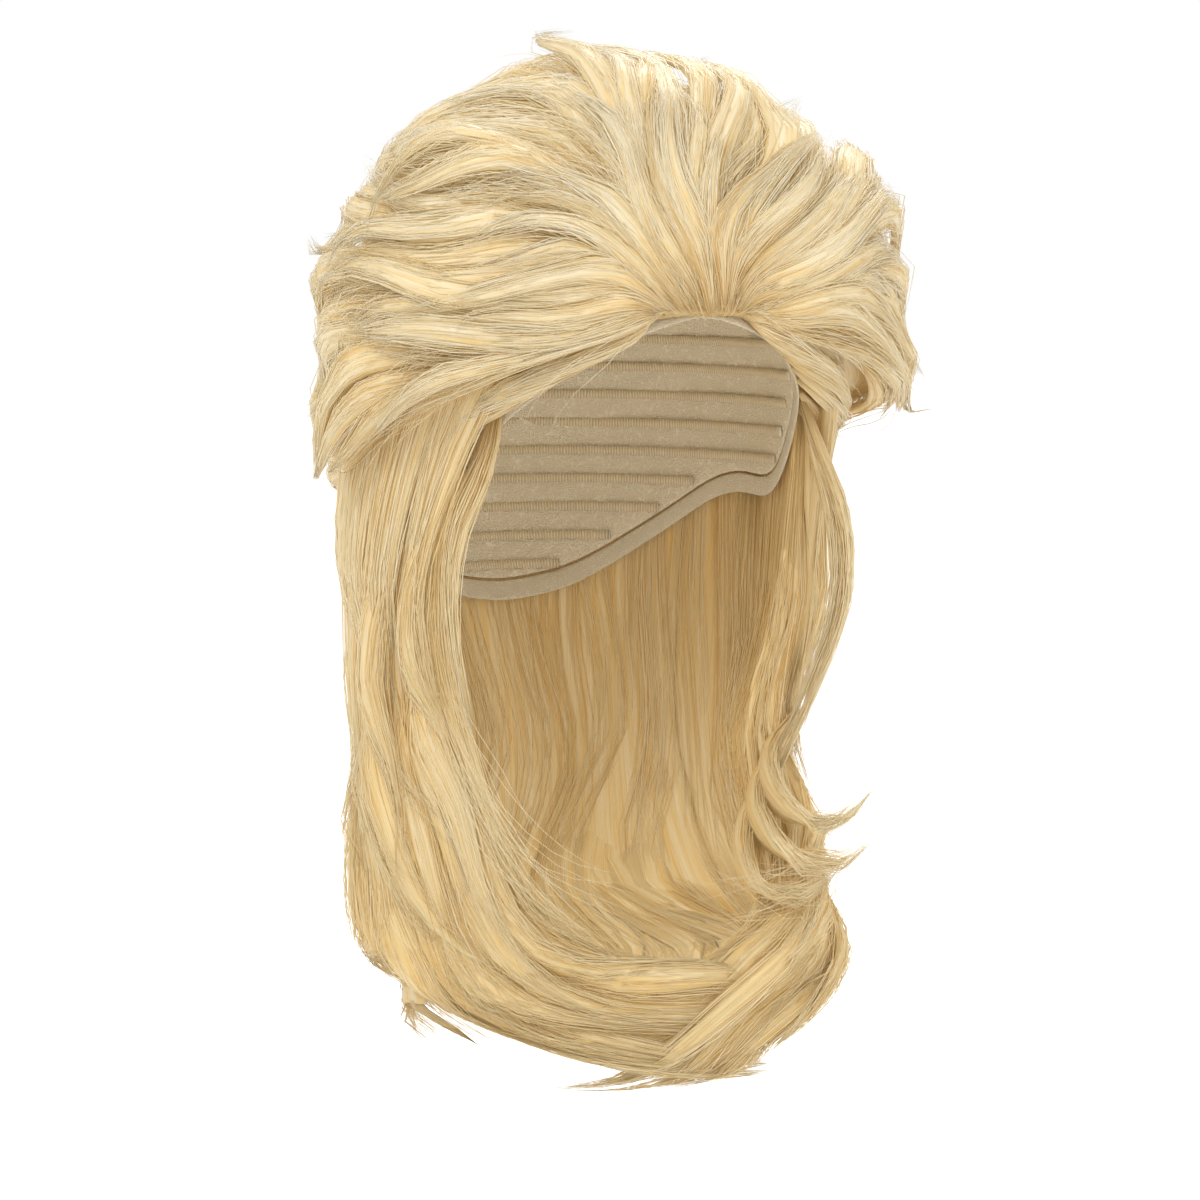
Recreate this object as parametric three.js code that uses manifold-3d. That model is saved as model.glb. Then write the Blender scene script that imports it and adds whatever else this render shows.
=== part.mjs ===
// A blonde mullet wig in its worn shape: short teased hair on a stretch cap, and long hair round the neck.
// Millimetres. +Z is up, the wearer faces -Y and +X is the wearer's left.
// The origin is the top of the hollow that the head fills.
import * as THREE from "three";
import { mergeVertices } from "three/addons/utils/BufferGeometryUtils.js";
import Module from "manifold-3d";

const wasm = await Module();
wasm.setup();

// The head that the cap is stretched over.
const headHalfWidth = 77;
const headHalfLength = 98;
const domeHeight = 95; // from the head's widest level up to its top
const domePower = 2.3; // 2 is an ellipsoid, and more is a squarer dome
const napeFall = 70; // the length below the widest level over which the head narrows
const sideNarrowing = 0.1;
const napeNarrowing = 0.22;

// The cap and its elastic edge.
const capWall = 1.6;
const bandHeight = 9;
const seatGap = 0.3; // between any two pieces
const capStepsRound = 30;
const capStepsDown = 6;

// The short hair.
const shortHairDepth = 72; // from the cap to the top of the hair, over the crown
const shortHairMiddle = new THREE.Vector3(0, 5, -65); // where rays through the short hair start
const flowTilt = 21; // degrees by which the point that the hair is combed back from lies above its middle
const topHalfSpread = 35; // degrees either side of the parting line
const sideStart = 70;
const sideEnd = 104;
const backCurlStart = 62; // how far behind the middle the curly back starts
const shortLockSpread = 17.5; // degrees that one short lock covers
const shortLockDepth = 18;

// The long hair.
const tailTop = -66; // level of its uppermost roots
const tailFall = 268; // from there down to its lowest tips
const tailDepth = 30; // thickness of the hanging hair
const neckHalfWidth = 79; // of the space that the hair leaves for the neck
const neckBack = 79;
const neckFront = 67;
const backHalfSpread = 55; // degrees of the middle back piece, either side
const throatGap = 1.6; // between the left and right ends under the throat
const tailLockShare = 0.11; // of the way from the middle of the back to the front edge, for one lock
const tailLockDepth = 15;

// Locks of one layer stand beside each other as ridges. The grooves between them are this share of the depth.
const grooveDepth = 0.2;
const layerBase = 0.84; // share of the full depth at the top of those ridges: loose locks make the rest
const unevenness = 0.12;

// The hairline and the cap's edge: degrees from the front, and the fall below the top as a share of
// domeHeight.
const EDGE = [
  { turn: 0, fall: 0.34 },
  { turn: 26, fall: 0.43 },
  { turn: 40, fall: 0.54 },
  { turn: 55, fall: 0.68 },
  { turn: 69, fall: 0.84 },
  { turn: 86, fall: 1.22 },
  { turn: 100, fall: 1.12 },
  { turn: 126, fall: 1.36 },
  { turn: 155, fall: 1.6 },
  { turn: 180, fall: 1.66 },
];

// Depth of the short hair as shares of shortHairDepth: degrees back from the hairline, then over the
// parting line, at the upper side, at the side and along the lower edge.
const SHORT_DEPTH = [
  { back: 0, top: 0.08, upper: 0.08, side: 0.07, low: 0.06 },
  { back: 15, top: 0.28, upper: 0.24, side: 0.17, low: 0.1 },
  { back: 32, top: 0.58, upper: 0.56, side: 0.46, low: 0.22 },
  { back: 60, top: 0.96, upper: 0.98, side: 0.8, low: 0.5 },
  { back: 85, top: 1, upper: 0.92, side: 0.7, low: 0.48 },
  { back: 110, top: 0.84, upper: 0.74, side: 0.5, low: 0.4 },
  { back: 145, top: 0.64, upper: 0.58, side: 0.46, low: 0.42 },
  { back: 180, top: 0.52, upper: 0.52, side: 0.52, low: 0.52 },
];

// Rows of loose short locks, from the hairline to the back. Depths and lifts are shares of shortLockDepth.
// Each row takes every second ridge, starting at `first`.
const SHORT_ROWS = [
  { from: 14, to: 64, first: 0, depth: 0.8, lift: 0.3, sway: 0.15 },
  { from: 34, to: 94, first: 1, depth: 1, lift: 0.7, sway: 0.2 },
  { from: 62, to: 116, first: 0, depth: 1, lift: 0.7, sway: 0.25 },
];
const BACK_ROWS = [
  { from: 104, to: 150, first: 1, depth: 1, lift: 0.45, sway: 0.5 },
  { from: 128, to: 172, first: 0, depth: 1, lift: 0.3, sway: 0.5 },
];

// Six lines that the long hair follows, from the middle of the back (share 0) to its front edge (share 1).
// turn is degrees from the back, and fall the share of tailFall below tailTop, at five even steps down.
const TAIL_LINES = [
  { share: 0, turn: [0, 0, 0, 0, 0], fall: [0, 0.33, 0.57, 0.78, 0.94] },
  { share: 0.25, turn: [32, 31, 31, 34, 42], fall: [0, 0.34, 0.58, 0.79, 0.92] },
  { share: 0.45, turn: [56, 54, 56, 72, 100], fall: [0, 0.35, 0.59, 0.8, 0.89] },
  { share: 0.64, turn: [78, 75, 78, 106, 160], fall: [0, 0.35, 0.6, 0.86, 0.99] },
  { share: 0.82, turn: [98, 92, 98, 128, 184], fall: [0, 0.33, 0.58, 0.83, 0.965] },
  { share: 1, turn: [114, 101, 110, 137, 190], fall: [0, 0.28, 0.53, 0.77, 0.845] },
];

// Radius of the space inside the long hair, as shares of the neck's three sizes, by share of tailFall.
const NECK_SPACE = [
  { fall: 0.1, side: 1.04, back: 1.2, front: 1 },
  { fall: 0.33, side: 0.98, back: 1.08, front: 1 },
  { fall: 0.5, side: 0.95, back: 1, front: 1.02 },
  { fall: 0.66, side: 0.98, back: 0.97, front: 1 },
  { fall: 0.82, side: 1.02, back: 1, front: 0.98 },
  { fall: 1, side: 1.04, back: 1.02, front: 1.02 },
];

// Thickness of the long hair as shares of tailDepth, by step down, in its middle and at its front edge.
const TAIL_DEPTH = [
  { down: 0, middle: 0.62, edge: 0.3 },
  { down: 0.25, middle: 0.9, edge: 0.4 },
  { down: 0.5, middle: 0.95, edge: 0.42 },
  { down: 0.75, middle: 0.88, edge: 0.5 },
  { down: 1, middle: 0.3, edge: 0.28 },
];

// Rows of loose long locks: where each starts and ends down the hair, as shares.
const TAIL_ROWS = [
  { from: 0.14, to: 0.58, first: 0, lift: 0.5 },
  { from: 0.34, to: 0.82, first: 1, lift: 0.4 },
  { from: 0.56, to: 0.99, first: 0, lift: 0.2 },
];

// Single locks, by hand: points in space, then width and depth.
const FREE_LOCKS = {
  sideburn_right: [
    {
      width: 13,
      depth: 6,
      points: [
        [-69.2, -45.4, -68],
        [-74, -43, -88],
        [-84, -35, -114],
        [-86, -31, -140],
        [-84, -34, -172],
        [-79, -40, -202],
      ],
    },
  ],
  sideburn_left: [
    {
      width: 14,
      depth: 6,
      points: [
        [69.2, -45.4, -68],
        [77, -46, -88],
        [87, -48, -116],
        [88, -48, -150],
        [78, -42, -185],
        [58, -36, -232],
      ],
    },
  ],
};

// Flicked ends on the wearer's left, which are part of the long hair there.
const FLICKS = [
  { width: 15, depth: 9, points: [[80, -2, -182], [84, -28, -208], [91, -46, -229], [102, -53, -224]] },
  { width: 17, depth: 10, points: [[82, -6, -200], [87, -34, -228], [95, -50, -249], [107, -52, -243]] },
  { width: 15, depth: 9, points: [[84, -12, -222], [88, -40, -247], [94, -54, -262], [104, -56, -259]] },
];

const hairColour = 0xe9cf92;
const capColour = 0xb99a6b;

const radians = THREE.MathUtils.degToRad;
const lerp = THREE.MathUtils.lerp;
const clamp = THREE.MathUtils.clamp;

// A steady value from 0 to 1 for each seed, so that locks differ the same way every time.
const vary = (seed) => {
  const wave = Math.sin(seed * 12.9898) * 43758.5453;
  return wave - Math.floor(wave);
};

// Reads column `name` of a table at `x`, smoothly, where column `by` rises from row to row.
function readTable(rows, by, x, name) {
  const last = rows.length - 1;
  const at = clamp(x, rows[0][by], rows[last][by]);
  let i = 0;
  while (i < last - 1 && rows[i + 1][by] < at) i += 1;
  const share = (at - rows[i][by]) / (rows[i + 1][by] - rows[i][by]);
  const slope = (k) => {
    const before = rows[Math.max(k - 1, 0)];
    const after = rows[Math.min(k + 1, last)];
    return (after[name] - before[name]) / (after[by] - before[by]);
  };
  const span = rows[i + 1][by] - rows[i][by];
  const s2 = share * share;
  const s3 = s2 * share;
  return (
    (2 * s3 - 3 * s2 + 1) * rows[i][name] +
    (s3 - 2 * s2 + share) * span * slope(i) +
    (3 * s2 - 2 * s3) * rows[i + 1][name] +
    (s3 - s2) * span * slope(i + 1)
  );
}

// Half width and half length of the head at a level, with everything moved out by `offset`.
function headAt(z, offset) {
  const above = (z + domeHeight) / (domeHeight + offset);
  let sides = 1;
  let nape = 1;
  if (above > 0) {
    sides = (1 - Math.min(above, 1) ** domePower) ** (1 / domePower);
    nape = sides;
  } else {
    const below = (-domeHeight - z) / napeFall;
    sides = 1 - sideNarrowing * below ** 2;
    nape = 1 - napeNarrowing * below ** 1.8;
  }
  return {
    width: (headHalfWidth + offset) * sides,
    front: (headHalfLength + offset) * (above > 0 ? sides : 1),
    back: (headHalfLength + offset) * nape,
  };
}

// Head surface `turn` degrees round from the front and `fall` millimetres below the top.
function headPoint(turn, fall, offset) {
  const level = fall > 0 ? offset - fall * (1 + offset / domeHeight) : offset;
  const z = fall > domeHeight ? -fall : level;
  const size = headAt(z, offset);
  const angle = radians(turn);
  const y = -Math.cos(angle);
  return new THREE.Vector3(size.width * Math.sin(angle), y * (y < 0 ? size.front : size.back), z);
}

// Distance from the short hair's middle to the outside of the cap, along a direction.
function capReach(direction) {
  const offset = capWall + seatGap;
  let near = 10;
  let far = 230;
  const point = new THREE.Vector3();
  for (let step = 0; step < 26; step += 1) {
    const middle = (near + far) / 2;
    point.copy(shortHairMiddle).addScaledVector(direction, middle);
    const size = headAt(point.z, offset);
    const length = point.y < 0 ? size.front : size.back;
    const inside = (point.x / size.width) ** 2 + (point.y / length) ** 2 < 1 && point.z < offset;
    if (inside) near = middle;
    else far = middle;
  }
  return far;
}

// The short hair's own directions: `spread` degrees from the parting line and `back` degrees from the
// hairline.
const flowAxis = new THREE.Vector3(0, Math.cos(radians(flowTilt)), -Math.sin(radians(flowTilt)));
const flowUp = new THREE.Vector3(0, Math.sin(radians(flowTilt)), Math.cos(radians(flowTilt)));
const flowSide = new THREE.Vector3(1, 0, 0);

function shortDirection(spread, back) {
  const a = radians(spread);
  const b = radians(back);
  return new THREE.Vector3()
    .addScaledVector(flowAxis, -Math.cos(b))
    .addScaledVector(flowUp, Math.sin(b) * Math.cos(a))
    .addScaledVector(flowSide, Math.sin(b) * Math.sin(a))
    .normalize();
}

function shortDepthAt(spread, back) {
  const around = [
    { spread: 0, depth: readTable(SHORT_DEPTH, "back", back, "top") },
    { spread: 45, depth: readTable(SHORT_DEPTH, "back", back, "upper") },
    { spread: 88, depth: readTable(SHORT_DEPTH, "back", back, "side") },
    { spread: 106, depth: readTable(SHORT_DEPTH, "back", back, "low") },
  ];
  return shortHairDepth * readTable(around, "spread", Math.abs(spread), "depth");
}

function shortPoint(spread, back, height) {
  const direction = shortDirection(spread, back);
  return shortHairMiddle.clone().addScaledVector(direction, capReach(direction) + height);
}

// Where the long hair runs: `share` from -1 (wearer's right) to 1, and `down` from 0 at the roots to 1.
function tailPlace(share, down) {
  const at = (name) => {
    const rows = TAIL_LINES.map((line) => {
      const steps = line[name].map((value, i) => ({ down: i / (line[name].length - 1), value }));
      return { share: line.share, value: readTable(steps, "down", down, "value") };
    });
    return readTable(rows, "share", Math.abs(share), "value");
  };
  return { turn: Math.sign(share) * at("turn"), fall: at("fall") };
}

// The inside of the long hair at a turn from the back: the cap's outside, or the space round the neck.
function tailInner(turn, fall) {
  const z = tailTop - fall * tailFall;
  const angle = radians(turn);
  const east = Math.sin(angle);
  const north = Math.cos(angle);
  const side = neckHalfWidth * readTable(NECK_SPACE, "fall", fall, "side");
  const back = neckBack * readTable(NECK_SPACE, "fall", fall, "back");
  const front = neckFront * readTable(NECK_SPACE, "fall", fall, "front");
  const radius = (width, length) => 1 / Math.hypot(east / width, north / length);
  const free = radius(side, north > 0 ? back : front);
  const lowestEdge = -domeHeight * EDGE[EDGE.length - 1].fall;
  if (z < lowestEdge - 2 * bandHeight) return free;
  const size = headAt(Math.max(z, lowestEdge), capWall + seatGap);
  const held = radius(size.width, north > 0 ? size.back : size.front);
  return Math.max(free, held);
}

function tailPoint(share, down, height) {
  const { turn, fall } = tailPlace(share, down);
  const radius = tailInner(turn, fall) + height;
  const angle = radians(turn);
  return new THREE.Vector3(radius * Math.sin(angle), radius * Math.cos(angle), tailTop - fall * tailFall);
}

function tailDepthAt(share, down) {
  const middle = readTable(TAIL_DEPTH, "down", down, "middle");
  const edge = readTable(TAIL_DEPTH, "down", down, "edge");
  const nearEdge = clamp((Math.abs(share) - 0.7) / 0.3, 0, 1);
  return tailDepth * lerp(middle, edge, nearEdge * nearEdge * (3 - 2 * nearEdge));
}

// Turns points and triangles into a closed solid whose faces point out.
function makeSolid(points, triangles) {
  const loose = new THREE.BufferGeometry();
  loose.setAttribute("position", new THREE.Float32BufferAttribute(points.flatMap((p) => [p.x, p.y, p.z]), 3));
  loose.setIndex(triangles.flat());
  const merged = mergeVertices(loose, 1e-3);
  const kept = [];
  for (let i = 0; i < merged.index.count; i += 3) {
    const [a, b, c] = merged.index.array.slice(i, i + 3);
    if (a !== b && b !== c && a !== c) kept.push(a, b, c);
  }
  const build = (triVerts) =>
    new wasm.Manifold(
      new wasm.Mesh({ numProp: 3, vertProperties: merged.attributes.position.array, triVerts }),
    );
  const solid = build(Uint32Array.from(kept));
  if (solid.volume() > 0) return solid;
  return build(Uint32Array.from(kept.reverse()));
}

// A wall between an inner and an outer surface. pointAt(u, v, side) gives a point for u and v from 0 to 1,
// on the inside (side 0) or the outside (side 1). `round` says that u closes on itself.
function wallSolid(pointAt, stepsU, stepsV, round = false) {
  const points = [];
  for (const side of [0, 1])
    for (let j = 0; j <= stepsV; j += 1)
      for (let i = 0; i <= stepsU; i += 1) points.push(pointAt(i / stepsU, j / stepsV, side));
  const layer = (stepsU + 1) * (stepsV + 1);
  const index = (i, j, side) => side * layer + j * (stepsU + 1) + i;
  const triangles = [];
  const quad = (a, b, c, d) => triangles.push([a, b, c], [a, c, d]);
  for (let j = 0; j < stepsV; j += 1)
    for (let i = 0; i < stepsU; i += 1) {
      quad(index(i, j, 1), index(i + 1, j, 1), index(i + 1, j + 1, 1), index(i, j + 1, 1));
      quad(index(i, j, 0), index(i, j + 1, 0), index(i + 1, j + 1, 0), index(i + 1, j, 0));
    }
  for (let i = 0; i < stepsU; i += 1) {
    quad(index(i, 0, 0), index(i + 1, 0, 0), index(i + 1, 0, 1), index(i, 0, 1));
    quad(index(i, stepsV, 1), index(i + 1, stepsV, 1), index(i + 1, stepsV, 0), index(i, stepsV, 0));
  }
  if (!round)
    for (let j = 0; j < stepsV; j += 1) {
      quad(index(0, j, 1), index(0, j + 1, 1), index(0, j + 1, 0), index(0, j, 0));
      quad(index(stepsU, j, 0), index(stepsU, j + 1, 0), index(stepsU, j + 1, 1), index(stepsU, j, 1));
    }
  return makeSolid(points, triangles);
}

// How wide and how thick a lock is from root (0) to tip (1), as shares.
const LOCK_SHAPE = [
  { along: 0, width: 0.5, depth: 0.5 },
  { along: 0.22, width: 0.95, depth: 0.95 },
  { along: 0.6, width: 0.95, depth: 0.95 },
  { along: 0.85, width: 0.62, depth: 0.6 },
  { along: 1, width: 0.12, depth: 0.16 },
];
const lockSteps = 4;

// A lock's cross-section, as shares of half its width and half its depth: a ridge over a flat underside.
const LOCK_SECTION = [
  { across: 0, up: 1 },
  { across: -1, up: -0.45 },
  { across: 1, up: -0.45 },
];

// A lock of hair along centreAt(t), thick along outwardAt(t), for t from 0 to 1.
function lockSolid(centreAt, outwardAt, widthAt, depthAt) {
  const points = [];
  for (let j = 0; j <= lockSteps; j += 1) {
    const t = j / lockSteps;
    const nudge = 0.02;
    const along = centreAt(Math.min(t + nudge, 1)).sub(centreAt(Math.max(t - nudge, 0))).normalize();
    const side = new THREE.Vector3().crossVectors(along, outwardAt(t)).normalize();
    const up = new THREE.Vector3().crossVectors(side, along);
    const halfWidth = (widthAt(t) / 2) * readTable(LOCK_SHAPE, "along", t, "width");
    const halfDepth = (depthAt(t) / 2) * readTable(LOCK_SHAPE, "along", t, "depth");
    for (const corner of LOCK_SECTION)
      points.push(
        centreAt(t)
          .addScaledVector(side, halfWidth * corner.across)
          .addScaledVector(up, halfDepth * corner.up),
      );
  }
  const ends = [points.length, points.length + 1];
  points.push(centreAt(0), centreAt(1));
  const triangles = [];
  const corners = LOCK_SECTION.length;
  for (let i = 0; i < corners; i += 1) {
    const next = (i + 1) % corners;
    const top = lockSteps * corners;
    triangles.push([ends[0], next, i], [ends[1], top + i, top + next]);
    for (let j = 0; j < lockSteps; j += 1) {
      const here = j * corners;
      const there = here + corners;
      triangles.push([here + i, here + next, there + next], [here + i, there + next, there + i]);
    }
  }
  return makeSolid(points, triangles);
}

const joinAll = (solids) => solids.reduce((whole, solid) => whole.add(solid));

// The largest single body of a solid: trimming a lock can leave a loose crumb of its tip.
function mainBody(solid) {
  return solid.decompose().reduce((largest, body) => (body.volume() > largest.volume() ? body : largest));
}

const beyond = 420; // farther than any piece reaches
const aboveRoots = 20; // farther up than the long hair's roots, from the top of the hollow

// A wedge of space round an axis, from one angle to another, and from one distance along it to another.
function wedge(origin, zero, quarter, axis, fromTurn, toTurn, start, end) {
  const bisector = radians((fromTurn + toTurn) / 2);
  const halfAngle = radians((toTurn - fromTurn) / 2);
  const apex = seatGap / 2 / Math.sin(Math.min(halfAngle, Math.PI / 2));
  const shape = new THREE.Shape();
  const apexX = apex * Math.cos(bisector);
  const apexY = apex * Math.sin(bisector);
  shape.moveTo(apexX, apexY);
  shape.lineTo(apexX + beyond * Math.cos(radians(fromTurn)), apexY + beyond * Math.sin(radians(fromTurn)));
  shape.absarc(apexX, apexY, beyond, radians(fromTurn), radians(toTurn), false);
  shape.closePath();
  const geometry = new THREE.ExtrudeGeometry(shape, {
    depth: end - start,
    bevelEnabled: false,
    curveSegments: 12,
  });
  geometry.translate(0, 0, start);
  geometry.applyMatrix4(new THREE.Matrix4().makeBasis(zero, quarter, axis).setPosition(origin));
  return fromGeometry(geometry);
}

function fromGeometry(geometry) {
  const position = geometry.getAttribute("position");
  const points = [];
  for (let i = 0; i < position.count; i += 1)
    points.push(new THREE.Vector3().fromBufferAttribute(position, i));
  const order = geometry.index ? Array.from(geometry.index.array) : points.map((_, i) => i);
  const triangles = [];
  for (let i = 0; i < order.length; i += 3) triangles.push(order.slice(i, i + 3));
  return makeSolid(points, triangles);
}

// Space between two spreads of the short hair, measured from the parting line towards the wearer's left.
const shortWedge = (fromSpread, toSpread, start, end) =>
  wedge(shortHairMiddle, flowUp, flowSide, flowAxis.clone().negate(), fromSpread, toSpread, -end, -start);

const farAlong = 320;

// How far below the top a ring of the cap lies: rings 0 to capStepsDown are the cap's, and the next two are
// the lower edge of the band and a level below the whole cap.
function ringFall(turn, ring) {
  const edge = domeHeight * readTable(EDGE, "turn", Math.abs(turn), "fall");
  if (ring > capStepsDown + 1) return domeHeight * EDGE[EDGE.length - 1].fall + 2 * bandHeight;
  if (ring > capStepsDown) return edge;
  return (edge - bandHeight) * Math.sin((ring / capStepsDown) * (Math.PI / 2)) ** 1.6;
}

const turnOf = (u) => lerp(-180, 180, u);

function capSolid() {
  return wallSolid(
    (u, v, side) => headPoint(turnOf(u), ringFall(turnOf(u), v * capStepsDown), side * capWall),
    capStepsRound,
    capStepsDown,
    true,
  );
}

function bandSolid() {
  return wallSolid(
    (u, v, side) => {
      const fall = ringFall(turnOf(u), capStepsDown + v) + (1 - v) * seatGap;
      return headPoint(turnOf(u), fall, side * capWall);
    },
    capStepsRound,
    1,
    true,
  );
}

// The space that the head and the cap take, which every piece of hair is trimmed by.
function mouldSolid() {
  const rings = capStepsDown + 2;
  return wallSolid(
    (u, v, side) => {
      const point = headPoint(turnOf(u), ringFall(turnOf(u), v * rings), capWall + seatGap);
      return side ? point : point.multiplyScalar(0.4).setZ(point.z - 30);
    },
    capStepsRound,
    rings,
    true,
  );
}

const mould = mouldSolid();

// Ridges and grooves: how high column `column` of a backing stands at row `row`, as a share of the full
// depth.
function ridgeShare(column, row, seed) {
  const groove = column % 2 === 0 ? grooveDepth : 0;
  return layerBase * (1 - groove) * (1 + unevenness * (vary(seed + 3.1 * column + 7.7 * row) - 0.5));
}

function shortLock(row, spread, seed) {
  const sway = row.sway * shortLockSpread * (vary(seed + 0.37) > 0.5 ? 1 : -1);
  const reach = row.to - 9 * vary(seed + 0.71);
  const lift = row.lift * shortLockDepth * (0.6 + 0.8 * vary(seed + 0.53));
  const backAt = (t) => lerp(row.from, reach, t);
  const spreadAt = (t) => spread + sway * Math.sin(Math.PI * 1.5 * t) * t;
  const heightAt = (t) => {
    const depth = shortDepthAt(spreadAt(t), backAt(t));
    return depth * layerBase - 0.2 * shortLockDepth + lift * t ** 2.4;
  };
  const radiusAt = (t) => shortPoint(spreadAt(t), backAt(t), heightAt(t)).distanceTo(shortHairMiddle);
  return lockSolid(
    (t) => shortPoint(spreadAt(t), backAt(t), heightAt(t)),
    (t) => shortDirection(spreadAt(t), backAt(t)),
    (t) => 5 + radians(shortLockSpread * 1.15) * radiusAt(t) * Math.sin(radians(Math.min(backAt(t), 166))),
    (t) => Math.min(row.depth * shortLockDepth, shortDepthAt(spreadAt(t), backAt(t)) * 0.8),
  );
}

// A piece of short hair between two spreads: a ridged backing with loose locks fused to it, trimmed to
// its space.
function shortHair(fromSpread, toSpread, rows, backing, space, seed) {
  const locksAcross = Math.round((toSpread - fromSpread) / shortLockSpread);
  const columns = 2 * locksAcross;
  const base = wallSolid(
    (u, v, side) => {
      const back = lerp(backing.from, backing.to, v);
      const spread = lerp(fromSpread, toSpread, u);
      const share = ridgeShare(Math.round(u * columns), Math.round(v * backing.steps), seed);
      return shortPoint(spread, back, side ? share * shortDepthAt(spread, back) : -3);
    },
    columns,
    backing.steps,
  );
  const solids = [base];
  const pitch = (toSpread - fromSpread) / locksAcross;
  rows.forEach((row, r) => {
    for (let i = row.first; i < locksAcross; i += 2)
      solids.push(shortLock(row, fromSpread + (i + 0.5) * pitch, seed + 10 * r + i));
  });
  return mainBody(joinAll(solids).intersect(space).subtract(mould));
}

const frontBacking = { from: 5, to: 134, steps: 9 };
const backBacking = { from: 96, to: 177, steps: 6 };

function frontHair(fromSpread, toSpread, seed) {
  const space = shortWedge(fromSpread, toSpread, -farAlong, backCurlStart - seatGap);
  return shortHair(fromSpread, toSpread, SHORT_ROWS, frontBacking, space, seed);
}

const topHair = () => frontHair(-topHalfSpread, topHalfSpread, 1);

function crownHair(hand) {
  if (hand > 0) return frontHair(topHalfSpread, sideStart, 70);
  return frontHair(-sideStart, -topHalfSpread, 40);
}

function sideHair(hand) {
  if (hand > 0) return frontHair(sideStart, sideEnd, 170);
  return frontHair(-sideEnd, -sideStart, 140);
}

function backCrownHair() {
  const space = shortWedge(-sideEnd, sideEnd, backCurlStart, farAlong);
  return shortHair(-sideEnd, sideEnd, BACK_ROWS, backBacking, space, 240);
}

function tailLock(row, share, seed) {
  const reach = Math.min(row.to - 0.07 * vary(seed), 1);
  const lift = row.lift * tailLockDepth * (0.5 + vary(seed + 0.3));
  const sway = 0.04 * (vary(seed + 0.6) - 0.5);
  const downAt = (t) => lerp(row.from, reach, t);
  const shareAt = (t) => clamp(share + sway * Math.sin(Math.PI * 1.5 * t), -0.985, 0.985);
  const heightAt = (t) => {
    const depth = tailDepthAt(shareAt(t), downAt(t));
    return depth * layerBase - 0.15 * tailLockDepth + lift * t ** 2;
  };
  return lockSolid(
    (t) => tailPoint(shareAt(t), downAt(t), heightAt(t)),
    (t) => {
      const inner = tailPoint(shareAt(t), downAt(t), 0);
      return tailPoint(shareAt(t), downAt(t), 10).sub(inner).normalize();
    },
    () => 175 * tailLockShare,
    (t) => Math.min(tailLockDepth, tailDepthAt(shareAt(t), downAt(t))),
  );
}

// A piece of long hair between two shares, with its backing, its locks and any single locks fused to it.
// Its ridges run on to the tips, and the grooves between them end higher up.
function tailHair(fromShare, toShare, space, extra, seed) {
  const locksAcross = Math.round((toShare - fromShare) / tailLockShare);
  const columns = 2 * locksAcross;
  const steps = 8;
  const base = wallSolid(
    (u, v, side) => {
      const column = Math.round(u * columns);
      const share = lerp(fromShare, toShare, u);
      const shorter = (column % 2 === 0 ? 0.05 : 0) + 0.04 * vary(seed + column);
      const down = v * (1 - shorter);
      const height = ridgeShare(column, Math.round(v * steps), seed) * tailDepthAt(share, v);
      return tailPoint(share, down, side ? height : 0);
    },
    columns,
    steps,
  );
  const solids = [base, ...extra.map(freeLock)];
  TAIL_ROWS.forEach((row, r) => {
    for (let i = row.first; i < locksAcross; i += 2)
      solids.push(tailLock(row, lerp(fromShare, toShare, (i + 0.5) / locksAcross), seed + 20 * r + i));
  });
  return mainBody(joinAll(solids).intersect(space).subtract(mould));
}

function freeLock({ width, depth, points }) {
  const path = new THREE.CatmullRomCurve3(points.map((p) => new THREE.Vector3(...p)));
  return lockSolid(
    (t) => path.getPoint(t),
    (t) => path.getPoint(t).setZ(0).normalize(),
    () => width,
    () => depth,
  );
}

const fullTurn = 360;
const underGap = 0.5; // degrees between the short hair's lower edge and the long hair

// The space under the short hair, and a sector of it round the upright axis, by turn from the back.
function tailSpace(fromTurn, toTurn) {
  const start = sideEnd + underGap;
  const below = shortWedge(start, fullTurn - start, -farAlong, farAlong);
  const east = new THREE.Vector3(1, 0, 0);
  const north = new THREE.Vector3(0, 1, 0);
  const down = new THREE.Vector3(0, 0, -1);
  const sector = wedge(new THREE.Vector3(), north, east, down, fromTurn, toTurn, -aboveRoots, beyond);
  return below.intersect(sector);
}

const backShare = 0.445; // share at which the middle back piece ends

function tailBack() {
  const space = tailSpace(-backHalfSpread, backHalfSpread);
  return tailHair(-backShare, backShare, space, [], 400);
}

function tailSide(hand) {
  const [from, to] = hand > 0 ? [backShare - 0.04, 1] : [-1, 0.04 - backShare];
  const throat = 180 - THREE.MathUtils.radToDeg(throatGap / 2 / neckFront);
  const space = hand > 0 ? tailSpace(backHalfSpread, throat) : tailSpace(-throat, -backHalfSpread);
  return tailHair(from, to, space, hand > 0 ? FLICKS : [], 500 + 60 * hand);
}

// Turns a solid into a named mesh.
function meshOf(name, solid, colour, roughness) {
  const made = solid.getMesh();
  const geometry = new THREE.BufferGeometry();
  const corners = new Float32Array(made.numVert * 3);
  for (let i = 0; i < made.numVert; i += 1)
    corners.set(made.vertProperties.subarray(i * made.numProp, i * made.numProp + 3), i * 3);
  geometry.setAttribute("position", new THREE.BufferAttribute(corners, 3));
  geometry.setIndex(new THREE.BufferAttribute(made.triVerts, 1));
  geometry.computeVertexNormals();
  const material = new THREE.MeshStandardMaterial({ color: colour, roughness, metalness: 0 });
  const mesh = new THREE.Mesh(geometry, material);
  mesh.name = name;
  return mesh;
}

const wig = new THREE.Group();
wig.name = "mullet_wig";

const capParts = new THREE.Group();
capParts.name = "cap_parts";
capParts.add(meshOf("wig_cap", capSolid(), capColour, 0.9));
capParts.add(meshOf("edge_band", bandSolid(), capColour, 0.8));

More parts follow.
